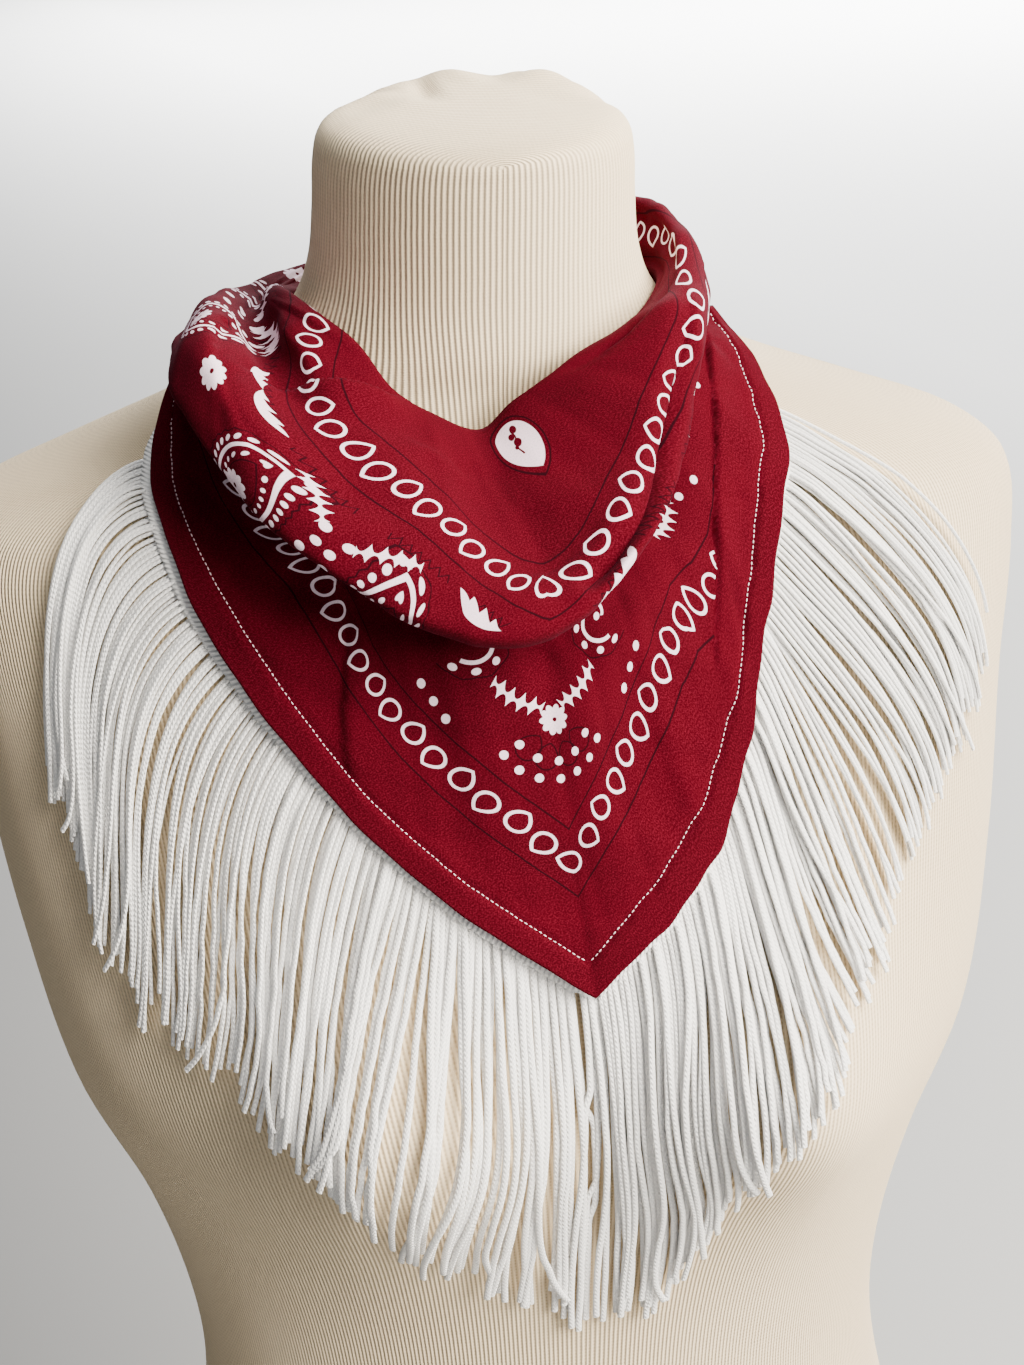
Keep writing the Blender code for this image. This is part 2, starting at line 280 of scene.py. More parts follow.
form = {
    "sides": 240, "capStart": 640.0, "neckTop": 732.0, "capTilt": 0.20, "neckHalf": 56.0,
    "capRim": 722.0, "foldStart": 712.0, "foldFade": 12.0,
    "neckRibs": 172, "bodyRibs": 560, "stitch": 1.5, "slant": 0.22,
    "ribChange": (616.0, 652.0), "ribFront": (0.50, 1.10),      # heights, and how far round the front
    # the groove colour is painted shade for the hollows between the ribs
    "cream": (0.85, 0.69, 0.46), "grooveShade": (0.40, 0.285, 0.165), "neckShadeKept": 0.55,
    "neckLightFade": (0.625, 0.04),      # painted light: the painted groove shade grows paler from this height, over this much, in metres
    # torso and neck, one row per ring: height, half width, front, back, squareness
    "rings": (
        (0, 136, -90, 104, 2.3), (25, 146, -95, 110, 2.3), (50, 155, -100, 114, 2.3),
        (100, 165, -104, 112, 2.25), (135, 162, -104, 104, 2.2), (170, 154, -102, 93, 2.2),
        (230, 136, -97, 69, 2.15), (276, 128, -98, 58, 2.1), (315, 131, -104, 61, 2.1),
        (361, 144, -113, 73, 2.15), (406, 165, -116, 85, 2.2), (461, 178, -102, 96, 2.3),
        (521, 188, -81, 105, 2.35), (562, 197, -64, 108, 2.3), (592, 198, -49, 107, 2.15),
        (608, 180, -37, 105, 2.0), (622, 144, -29, 100, 1.9), (636, 107, -28, 92, 1.9),
        (649, 79, -31, 84, 1.95), (665, 64, -33, 78, 2.0), (680, 58, -36, 72, 2.0),
        (698, 56, -40, 66, 2.0), (716, 55, -44, 61, 2.0), (725, 52, -45, 57, 2.0),
        (729, 45, -41, 50, 2.0), (731, 33, -30, 40, 2.0), (732, 16, -13, 24, 2.0)),
    # the bust: side, height, spread across, spread up, depth
    "bust": (72.0, 412.0, 46.0, 50.0, 38.0),
    # soft folds of the jersey on the cap: start x, y, end x, y, width, rise
    "capFolds": ((-12, 46, -14, 10, 3.6, -2.6), (-46, 30, -24, 40, 11.0, -3.4), (-44, 8, -16, 24, 8.0, -1.6),
                 (-40, 42, -22, 8, 7.0, 1.3), (-4, 50, 4, 30, 6.0, 1.6), (15, 50, 14, 30, 6.0, -1.8),
                 (26, 40, 38, 28, 11.0, 3.0), (50, 22, 46, 8, 9.0, -2.0), (-30, -20, 30, -26, 14.0, 0.8),
                 (20, 10, 40, -8, 8.0, -0.8)),
}
ringHeights = [row[0] for row in form["rings"]]


def formRing(angles, row):
    height, half, front, back, square = row
    middle, depth = (front + back) / 2, (back - front) / 2
    s, c = np.sin(angles), np.cos(angles)
    x = half * np.sign(s) * np.abs(s) ** (2 / square)
    y = middle - depth * np.sign(c) * np.abs(c) ** (2 / square)
    side, level, across, up, deep = form["bust"]
    y = y - (deep * np.exp(-((np.abs(x) - side) / across) ** 2 - ((height - level) / up) ** 2)
             * np.clip(c + 0.15, 0.0, 1.0))
    t = max(height - form["capStart"], 0.0) / (form["neckTop"] - form["capStart"])
    z = height + form["capTilt"] * t * t * (y - middle)
    return np.stack((x, y, z), 1)


def nearSegment(points, start, end):      # distance to a segment, and how far along it
    start, end = np.asarray(start, float), np.asarray(end, float)
    along = end - start
    t = np.clip(((points - start) @ along) / (along @ along), 0.0, 1.0)
    return np.linalg.norm(points - start - t[..., None] * along, axis=-1), t


def capRise(points):
    flat = points[:, :2]
    rise = np.zeros(len(points))
    for x0, y0, x1, y1, width, height in form["capFolds"]:
        gap, t = nearSegment(flat, (x0, y0), (x1, y1))
        rise += height * np.exp(-(gap / width) ** 2) * (0.45 + 0.55 * np.sin(math.pi * t))
    return rise


def jerseyFinish():
    tree, shader, material = finish("ribbedJersey", 0.95, sheen=0.12, specular=0.15)
    rib, row, _ = splitVector(tree, mapUv(tree, "ribMap"))
    place = objectPlace(tree)
    hill = waveOf(rib + noiseValue(tree, place, 26.0) * 0.22, "COSINE")
    knit = waveOf(row)
    fuzz = noiseValue(tree, place, 900.0)
    low, rise = form["neckLightFade"]
    # painted light on the neck: its painted groove shade is weakened
    neck = ((splitVector(tree, place)[2] - low) / rise).clamped()
    # painted shade in the rib grooves, stronger at each stitch along the rows
    gap = (1 - hill) ** 1.7 * (knit * 0.35 + 0.60)
    gap = (gap + (fuzz * 0.30 - 0.15)).clamped() * (neck * (form["neckShadeKept"] - 1.0) + 1.0)
    colour = mixColour(tree, gap, form["cream"], form["grooveShade"])
    blotch = (noiseValue(tree, place, 9.0) * 0.5 - 0.15).clamped()
    worn = tuple(v * 0.92 for v in form["cream"])
    plug(tree, shader.inputs["Base Color"], mixColour(tree, blotch, colour, worn))
    addBump(tree, shader, fuzz * 0.12 + (knit * hill * 0.16 + hill), 0.75, 0.00050)
    return material


def formHeights():      # rings lie closer where the form bends sharply
    runs = ((0, 560, 6.0), (560, 652, 2.4), (652, 712, 3.0), (712, 724, 1.3), (724, 729, 0.8),
            (729, 731.2, 0.5), (731.2, 732.05, 0.2))
    return np.concatenate([np.arange(*run) for run in runs])


def makeForm():
    heights = formHeights()
    sides = form["sides"]
    angles = 2 * math.pi * np.arange(sides) / sides
    rings = [formRing(angles, spline(ringHeights, form["rings"], h)) for h in heights]
    crown = rings[-1].mean(axis=0)
    for share in (0.75, 0.5, 0.25):
        rings.append(crown + (rings[len(heights) - 1] - crown) * share)
    net = np.array(rings)      # ring, side
    count = len(net)
    reach = np.linalg.norm(np.diff(net, axis=0), axis=2).mean(axis=1)
    rows = np.concatenate(((0.0,), np.cumsum(reach))) / form["stitch"]
    rim = int(np.argmax(heights > form["capRim"]))
    rimX, rimY = net[rim, :, 0], net[rim, :, 1]
    middle, depth, wide = (rimY.min() + rimY.max()) / 2, np.ptp(rimY) / 2, np.ptp(rimX) / 2
    above = np.clip((net[..., 2] - form["foldStart"]) / form["foldFade"], 0.0, 1.0)
    net[..., 2] += capRise(net.reshape(-1, 3)).reshape(count, sides) * above
    points = np.concatenate((net.reshape(-1, 3), [net[-1].mean(axis=0)]))

    def capRib(p):      # ribs arch over the cap from side to side
        x, y = p[0] / wide, (p[1] - middle) / depth
        level = -y - form["slant"] * x * max(1.0 - x * x - y * y, 0.0)
        turns = math.acos(min(max(level, -1.0), 1.0)) / (2 * math.pi)
        return turns * form["neckRibs"], x * wide / form["stitch"]

    # ribs run straight down the front of the neck and fan out at its sides
    walk = np.linspace(0.0, math.pi / 2, 200)
    folded = np.arcsin(np.abs(np.sin(angles)))

    def ringTurns(fan):
        quarter = np.interp(folded, fan, walk)
        return np.where(np.cos(angles) >= 0, quarter, math.pi - quarter) / (2 * math.pi)

    bodyTurns = ringTurns(walk)
    neckTurns = []
    for height in heights[:rim + 1]:
        half = float(spline(ringHeights, form["rings"], height)[1])
        low = min(form["neckHalf"], half)
        neckTurns.append(ringTurns(np.arcsin((low * np.sin(walk) + (half - low) * np.sin(walk) ** 5) / half)))
    away = np.abs((angles + math.pi) % (2 * math.pi) - math.pi)      # from straight ahead
    change = np.interp(away, form["ribFront"], form["ribChange"])

    faces, uv = [], []
    for r in range(count - 1):
        height = heights[min(r, len(heights) - 1)]
        for k in range(sides):
            m = (k + 1) % sides
            faces.append((r * sides + k, r * sides + m, (r + 1) * sides + m, (r + 1) * sides + k))
            onNeck = height > change[k]
            for ring, side in ((r, k), (r, k + 1), (r + 1, k + 1), (r + 1, k)):
                if r >= rim:
                    uv.append(capRib(points[ring * sides + side % sides]))
                elif onNeck:
                    uv.append((neckTurns[ring][side % sides] * form["neckRibs"], rows[ring]))
                else:
                    uv.append((bodyTurns[side % sides] * form["bodyRibs"], rows[ring]))
    top, base = len(points) - 1, (count - 1) * sides
    for k in range(sides):
        face = (base + k, base + (k + 1) % sides, top)
        faces.append(face)
        uv += [capRib(points[i]) for i in face]
    faces.append(tuple(reversed(range(sides))))
    uv += [(0.0, 0.0)] * sides
    piece = meshPiece("jerseyForm", toFrame(points), faces, jerseyFinish(), uv, "ribMap")
    return dress(piece, "jersey", "dress_form")


jerseyForm = makeForm()
formSkin = BVHTree.FromPolygons([tuple(np.asarray(v.co) / mm - (0, frontShift, 0))
                                 for v in jerseyForm.data.vertices],
                                [tuple(p.vertices) for p in jerseyForm.data.polygons])
print("dress form ready")


def onForm(p, gap):
    spot, normal, _, _ = formSkin.find_nearest(Vector(p))
    return np.array(spot) + gap * np.array(normal), np.array(normal)


def clear(p, gap):      # lift a point out of the form to at least this gap
    spot, normal = onForm(p, gap)
    return spot if np.dot(p - spot, normal) < 0 else p


cotton = {
    "thickness": 1.0, "bibGap": 6.4, "overBib": 9.6,
    "cowlGrid": (441, 92), "bibGrid": (151, 96),      # columns, and rows down each
    "red": (0.058, 0.0006, 0.0037), "deep": (0.034, 0.0004, 0.0022), "glint": (0.135, 0.0060, 0.0190),
    "white": (0.80, 0.62, 0.71), "black": (0.010, 0.0012, 0.0030), "inkEdge": 0.16,
    "dropLean": 102, "cornerDrop": 0.88, "fillingGap": 1.5, "printShift": 1.2,
    # how far the lines and the two rows of drops lie from the hemmed edges, mm
    "marginLine": 26.5, "outerDrops": 35.0, "outerBandLine": 43.0, "innerBandLine": 138.0,
    "innerDrops": 146.5, "middleLine": 155.0,
    "pitch": 10.8, "dropSize": 3.85, "dropFlat": 1.22, "whiteLine": 0.60, "blackLine": 0.27,
    "bandStart": 150.0, "bandUnit": 54.0, "loneDrop": (198.3, 185.1), "weave": 0.62,
    "loneLean": ((0.364, -1.04), (0.735, 0.326)), "loneTurn": -20.0, "loneSize": 7.9,
    "sprig": (((-0.52, 0.14), 0.18), ((-0.26, -0.10), 0.15), ((0.06, 0.05), 0.19), ((0.24, -0.10), 0.10)),
}
hem = {
    "stitchLine": 9.0, "stitchPitch": 1.9, "stitchLength": 1.25, "stitchWidth": 0.42, "stitchRise": 0.35,
    "thread": (0.86, 0.62, 0.66), "tapeIn": 7.0, "tapeThickness": 0.9, "tapeGap": 4.6, "tapeRib": 1.9,
    "tapeEnd": 0.96,
    # how far the fringe's tape shows past the hem: share along it, then millimetres
    "tapeShows": ((-0.95, 0.5), (-0.80, 4.2), (-0.60, 4.0), (-0.40, 2.0), (0.0, 1.2), (0.40, 1.4),
                  (0.80, 1.2), (0.95, 0.4)),
}
# the filling of the border, sizes in mm: kind, place (along, from the edge) in one mirrored unit, turn, size
bandMotifs = (
    ("boteh", (30, 103), 118, 13.0), ("flower", (28.5, 101), 20, 5.0), ("flower", (0, 112), 0, 6.0),
    ("scroll", (7, 84), 205, 7.6), ("scroll", (49, 72), 40, 7.4), ("leaf", (11, 128), 6, 10.5),
    ("leaf", (34, 66), 160, 11.0), ("flower", (54, 96), 36, 5.2), ("spray", (13, 56), 8, 9.5),
    ("dot", (20, 68), 0, 1.5), ("dot", (26, 56), 0, 1.5), ("dot", (34, 52), 0, 1.5),
    ("dot", (50, 108), 0, 1.5), ("dot", (51.5, 114), 0, 1.6), ("dot", (50, 120), 0, 1.7),
    ("spray", (42, 126), 150, 8.5),
)
# the filling of the corner: kind, place (across the diagonal, along it), turn, size
cornerMotifs = (
    ("flower", (0, 97), 0, 5.2), ("spray", (11.5, 105), 34, 9.0), ("arc", (0, 97), -90, 13.5),
    ("loop", (9.5, 88.5), -42, 3.9), ("loop", (4, 84.5), -70, 3.7), ("arc", (0, 97), -90, 19.5),
    ("scroll", (23, 126), 150, 8.2), ("dot", (34, 100), 0, 1.6), ("dot", (38, 106), 0, 1.6),
    ("dot", (42, 112), 0, 1.6), ("leaf", (12, 158), 62, 11.5), ("scroll", (14, 138), 300, 6.6),
    ("flower", (0, 150), 0, 5.8), ("dot", (0, 136), 0, 1.6), ("dot", (0, 141), 0, 1.4),
)
# where the flat cloth lies: share along the scarf, then the distance from the corner, along the
# edge, at the outer and at the inner row of drops
stations = (
    (-2.00, 388, 440), (-1.50, 322, 374), (-1.00, 264, 318), (-0.75, 228, 292), (-0.50, 170, 251),
    (-0.25, 108, 200), (0.00, 35, 146.5), (0.25, 107, 185), (0.50, 175, 222), (0.75, 222, 257),
    (1.00, 265, 278), (1.25, 290, 300), (1.50, 320, 330), (2.00, 410, 420))
# cowl and wraps, one row per section, tail to tail:
# share, then (angle, radius, height) of each fold line, how far the lip turns back, and how far
# from the cloth's edge the inner line lies
cowlSections = (
    # share   neck fold        inner line       valley           ridge            lip      turn, depth
    (-2.00, (-166.7, 66, 662), (-166.7, 69, 671), (-166.7, 75, 676), (-166.7, 81, 673), (-166.7, 86, 659),
     9, 105),
    (-1.50, (-122, 67, 665), (-122, 70, 668), (-122, 74, 667), (-122, 80, 667), (-120, 88, 655), 10, 115),
    (-1.00, (-78, 70, 672), (-76, 76, 669), (-77, 81, 661), (-76, 98, 671), (-78, 110, 657), 14, 129),
    (-0.75, (-50, 69, 661), (-58, 81, 662), (-61, 89, 655), (-62, 112, 664), (-62, 125, 648), 18, 141),
    (-0.50, (-37, 66, 643), (-42, 86, 644), (-44, 101, 637), (-45, 121, 638), (-43, 131, 616), 20, 154),
    (-0.25, (-24, 62, 633), (-20, 90, 617), (-21, 110, 604), (-21, 122, 594), (-22, 128, 584), 20, 155),
    (0.00, (-10, 59, 627), (0, 97, 598), (-1, 111, 589), (-1, 119, 582), (-2, 123, 574), 20, 160),
    (0.25, (1, 59, 636), (18, 88, 616), (18, 101, 608), (17, 108, 603), (18, 111, 597), 17, 155),
    (0.50, (13, 61, 644), (32, 82, 641), (35, 87, 635), (37, 90, 629), (39, 90, 619), 10, 155),
    (0.75, (26, 63, 652), (42, 78, 662), (47, 83, 661), (51, 86, 656), (54, 85, 645), 8, 160),
    (1.00, (48, 64, 658), (58, 71, 667), (64, 75, 671), (69, 80, 669), (73, 82, 659), 8, 155),
    (1.25, (78, 67, 668), (84, 69, 675), (89, 73, 681), (93, 78, 679), (97, 82, 666), 7, 150),
    (1.50, (106, 68, 668), (109, 70, 677), (112, 74, 685), (114, 79, 685), (116, 84, 671), 7, 146),
    (2.00, (166.8, 66, 662), (166.8, 69, 672), (166.8, 75, 679), (166.8, 81, 676), (166.8, 86, 662), 9, 140),
)
# bib: share, then (angle, radius, height) of its hidden top, the line under the lip,
# the row of drops and the hem
bibSections = (
    (-1.00, (-82, 81, 657), (-82, 90, 653), (-84, 98, 650), (-87, 106, 648)),
    (-0.75, (-58, 90, 646), (-58, 99, 633), (-61, 108, 621), (-73, 125, 619)),
    (-0.62, (-49, 90, 634), (-49, 102, 618), (-50, 110, 604), (-62, 132, 596)),
    (-0.50, (-42, 90, 622), (-42, 103, 603), (-41, 108, 590), (-53, 133, 568)),
    (-0.25, (-24, 86, 600), (-26, 101, 580), (-27, 111, 545), (-30, 128, 508)),
    (0.00, (0, 82, 584), (0, 100, 562), (1, 120, 495), (2, 136, 452)),
    (0.25, (19, 84, 606), (20, 96, 586), (20, 107, 550), (24, 130, 494)),
    (0.50, (34, 73, 630), (37, 79, 616), (42, 93, 602), (44, 117, 567)),
    (0.75, (53, 71, 647), (55, 76, 642), (59, 88, 632), (65, 108, 619)),
    (1.00, (74, 73, 655), (76, 76, 655), (80, 79, 655), (84, 84, 654)),
)
cowlShares = [row[0] for row in cowlSections]


def flatPlace(share, depth):      # a point of the flat cloth: distances from its two hemmed edges
    outer, inner = armSpline(stations, share, slice(1, 3))
    rows = cotton["innerDrops"] - cotton["outerDrops"]
    along = outer + (inner - outer) * (depth - cotton["outerDrops"]) / rows
    return (depth, along) if share < 0 else (along, depth)


def slant(share):      # how much of a step along a section goes straight away from the edge
    outer, inner = armSpline(stations, share, slice(1, 3))
    return 1 / math.hypot(1.0, (inner - outer) / (cotton["innerDrops"] - cotton["outerDrops"]))


# how far down its section each line of the cowl lies: three hidden ones, the folds, the turned lip
cowlMarks = (-0.16, -0.09, -0.03, 0.0, 0.25, 0.42, 0.58, 0.74, 0.84, 1.0)
bibMarks = (0.0, 0.2, 0.5, 1.0)


def cowlColumn(share, levels):
    folds = [polar(*spline(cowlShares, [row[k] for row in cowlSections], share)) for k in range(1, 6)]
    turn = float(spline(cowlShares, [[row[6]] for row in cowlSections], share)[0])
    out = unit(folds[0] * (1, 1, 0) - (0, neckAxis, 0))
    under = [clear(folds[0] - out * back + (0, 0, -drop), 1.3)
             for back, drop in ((3.4, 13.0), (3.0, 6.0), (2.1, 1.0))]
    lip = folds[-1]
    inward = unit(np.array((-lip[0], neckAxis - lip[1], 0.0)))
    folds.append(lip + inward * turn * 0.3 + (0, 0, -turn * 0.18))
    folds.append(lip + inward * turn + (0, 0, turn * 0.42))
    lines = under + folds
    column = np.array([spline(cowlMarks, lines, t) for t in levels])
    gap = cotton["overBib"] if abs(share) < 1.3 else cotton["bibGap"]
    for k, t in enumerate(levels):
        if t > 0.6:
            column[k] = clear(column[k], gap)
    walked = lengths(column)
    atLine = float(np.interp(cowlMarks[4], levels, walked))
    level = float(armSpline(cowlSections, share, slice(7, 8))[0])
    return column, [flatPlace(share, level - (w - atLine) * slant(share)) for w in walked]


# the standing pleat on the bib's left: share, level of its edge, how far from the hem, cloth inside it
bibPleat = ((0.30, 0.85, 11, 0), (0.34, 0.78, 16, 1), (0.40, 0.71, 23, 6), (0.46, 0.64, 25, 13),
            (0.50, 0.60, 25, 16), (0.75, 0.46, 25, 20), (1.00, 0.38, 25, 20))


def bibColumn(share, levels):
    lines = [polar(*armSpline([(row[0], *row[k]) for row in bibSections], share, slice(1, 4)))
             for k in range(1, 5)]
    column = np.array([clear(spline(bibMarks, lines, t), cotton["bibGap"]) for t in levels])
    walked = lengths(column)
    drops = cotton["outerDrops"]
    atDrops = float(np.interp(bibMarks[2], levels, walked))
    below = drops / (walked[-1] - atDrops)
    depths = np.where(walked > atDrops, (walked[-1] - walked) * below,
                      drops + (atDrops - walked) * slant(share))
    if share > bibPleat[0][0]:
        places, *lines = zip(*bibPleat)
        edge, hemSide, inside = (float(np.interp(share, places, line)) for line in lines)
        atEdge = float(np.interp(edge, levels, walked))
        hidden = hemSide + inside - float(np.interp(atEdge, walked, depths))
        outer = hemSide * (walked[-1] - walked) / (walked[-1] - atEdge)
        depths = np.where(walked > atEdge, outer, depths + hidden)
    return column, [flatPlace(share, depth) for depth in depths]


# creases: sheet, start and end as (share, level down the section), width, rise on the right-hand
# side of the way from start to end, rise on its left-hand side, all in millimetres
creases = (
    ("cowl", (-0.64, 0.45), (-0.43, -0.04), 9.0, 3.4, -3.0),
    ("cowl", (-1.05, 0.40), (-0.60, 0.40), 8.0, -5.5, -4.5),
    ("cowl", (-0.95, 0.30), (-0.66, 0.26), 6.0, 1.6, 0.6),
    ("cowl", (-0.95, 0.50), (-0.50, 0.63), 6.0, 0.9, -1.1),
    ("cowl", (-0.60, 0.52), (-0.18, 0.63), 9.0, -1.4, -1.4),
    ("cowl", (-0.40, 0.30), (-0.12, 0.38), 8.0, 0.9, 0.9),
    ("cowl", (-0.16, 0.08), (0.02, 0.42), 13.0, -3.4, -3.4),
    ("cowl", (0.03, 0.06), (0.24, 0.36), 10.0, 2.0, 2.0),
    ("cowl", (-0.34, 0.16), (-0.10, 0.12), 5.0, 0.8, -0.5),
    ("cowl", (0.10, 0.57), (0.66, 0.56), 3.2, -7.0, -7.0),
    ("cowl", (0.12, 0.60), (0.42, 0.58), 5.0, -7.5, -7.5),
    ("cowl", (0.30, 0.64), (0.82, 0.46), 5.0, 0.9, -1.6),
    ("cowl", (0.12, 0.30), (0.50, 0.52), 7.0, -1.1, -1.1),
    ("cowl", (0.55, 0.06), (0.98, 0.30), 5.0, 0.9, -1.3),
    ("cowl", (-1.00, 0.20), (-0.70, 0.06), 6.0, -0.9, 0.7),
    ("cowl", (-1.90, 0.30), (-1.10, 0.48), 6.0, 1.0, -1.5),
    ("cowl", (-1.80, 0.62), (-1.05, 0.55), 6.0, -1.5, 0.9),
    ("cowl", (-1.60, 0.75), (-0.90, 0.70), 5.0, 0.7, -1.0),
    ("cowl", (1.05, 0.34), (1.85, 0.46), 6.0, 1.0, -1.4),
    ("cowl", (1.10, 0.64), (1.90, 0.55), 6.0, -1.3, 0.9),
    ("bib", (-0.52, 0.33), (-0.33, 0.41), 5.0, 1.5, -1.5),
    ("bib", (-0.57, 0.90), (-0.46, 0.42), 8.0, -1.5, -1.5),
    ("bib", (-0.49, 0.98), (-0.40, 0.55), 9.0, 1.0, 1.0),
    ("bib", (-0.40, 0.44), (-0.28, 0.92), 11.0, -1.0, 0.5),
    ("bib", (-0.20, 0.38), (-0.07, 0.94), 12.0, -1.2, -1.2),
    ("bib", (0.02, 0.22), (0.48, 0.18), 10.0, -6.5, -6.5),
    ("bib", (-0.30, 0.20), (0.03, 0.20), 8.0, -5.5, -5.5),
    ("bib", (0.04, 0.42), (0.08, 0.96), 11.0, 1.5, 1.5),
    ("bib", (0.20, 0.40), (0.20, 0.94), 9.0, -1.6, -1.6),
    ("bib", (0.95, 0.39), (0.75, 0.46), 7.0, -0.8, 1.2),
    ("bib", (0.75, 0.46), (0.50, 0.60), 7.0, -0.9, 1.4),
    ("bib", (0.53, 0.58), (0.38, 0.74), 7.0, -0.6, 0.9),
    ("bib", (0.62, 0.92), (0.56, 0.70), 5.0, 0.7, -0.5),
    ("bib", (0.40, 0.97), (0.44, 0.76), 5.0, -0.8, 0.6),
)


def creaseRise(sheet, shares, levels, net):
    rise = np.zeros(net.shape[:2])
    flatNet = net.reshape(-1, 3)
    shareGrid, levelGrid = np.meshgrid(shares, levels, indexing="ij")
    for name, start, end, width, right, left in creases:
        if name != sheet:
            continue
        ways = np.linspace(start, end, 24)
        cols = np.abs(shares[None, :] - ways[:, :1]).argmin(axis=1)
        rows = np.abs(levels[None, :] - ways[:, 1:]).argmin(axis=1)
        track = net[cols, rows]
        best = np.full(len(flatNet), 1e9)
        spot = np.zeros(len(flatNet))
        for i in range(len(track) - 1):
            gap, t = nearSegment(flatNet, track[i], track[i + 1] + 1e-6)
            closer = gap < best
            best[closer] = gap[closer]
            spot[closer] = (i + t[closer]) / (len(track) - 1)
        gap, spot = best.reshape(rise.shape), spot.reshape(rise.shape)
        side = (levelGrid - start[1]) * (end[0] - start[0]) - (shareGrid - start[0]) * (end[1] - start[1])
        step = np.clip(0.5 + gap * np.sign(side) / 2.4, 0.0, 1.0)
        amount = left + (right - left) * step * step * (3 - 2 * step)
        rise += amount * np.exp(-(gap / width) ** 2) * np.sin(math.pi * np.clip(0.10 + 0.80 * spot, 0, 1))
    return rise


# soft unevenness: wave length along, wave length down, rise, turn
ripples = ((61.0, 47.0, 0.60, 0.4), (37.0, 83.0, 0.45, 1.9), (23.0, 31.0, 0.28, 3.1), (14.0, 19.0, 0.15, 5.2),
           (9.1, 12.7, 0.08, 2.6))


def rippleRise(flat):
    rise = np.zeros(flat.shape[:2])
    for along, down, height, turn in ripples:
        rise += height * np.sin(2 * math.pi * flat[..., 0] / along + turn) * np.sin(
            2 * math.pi * flat[..., 1] / down + turn * 1.7)
    return rise


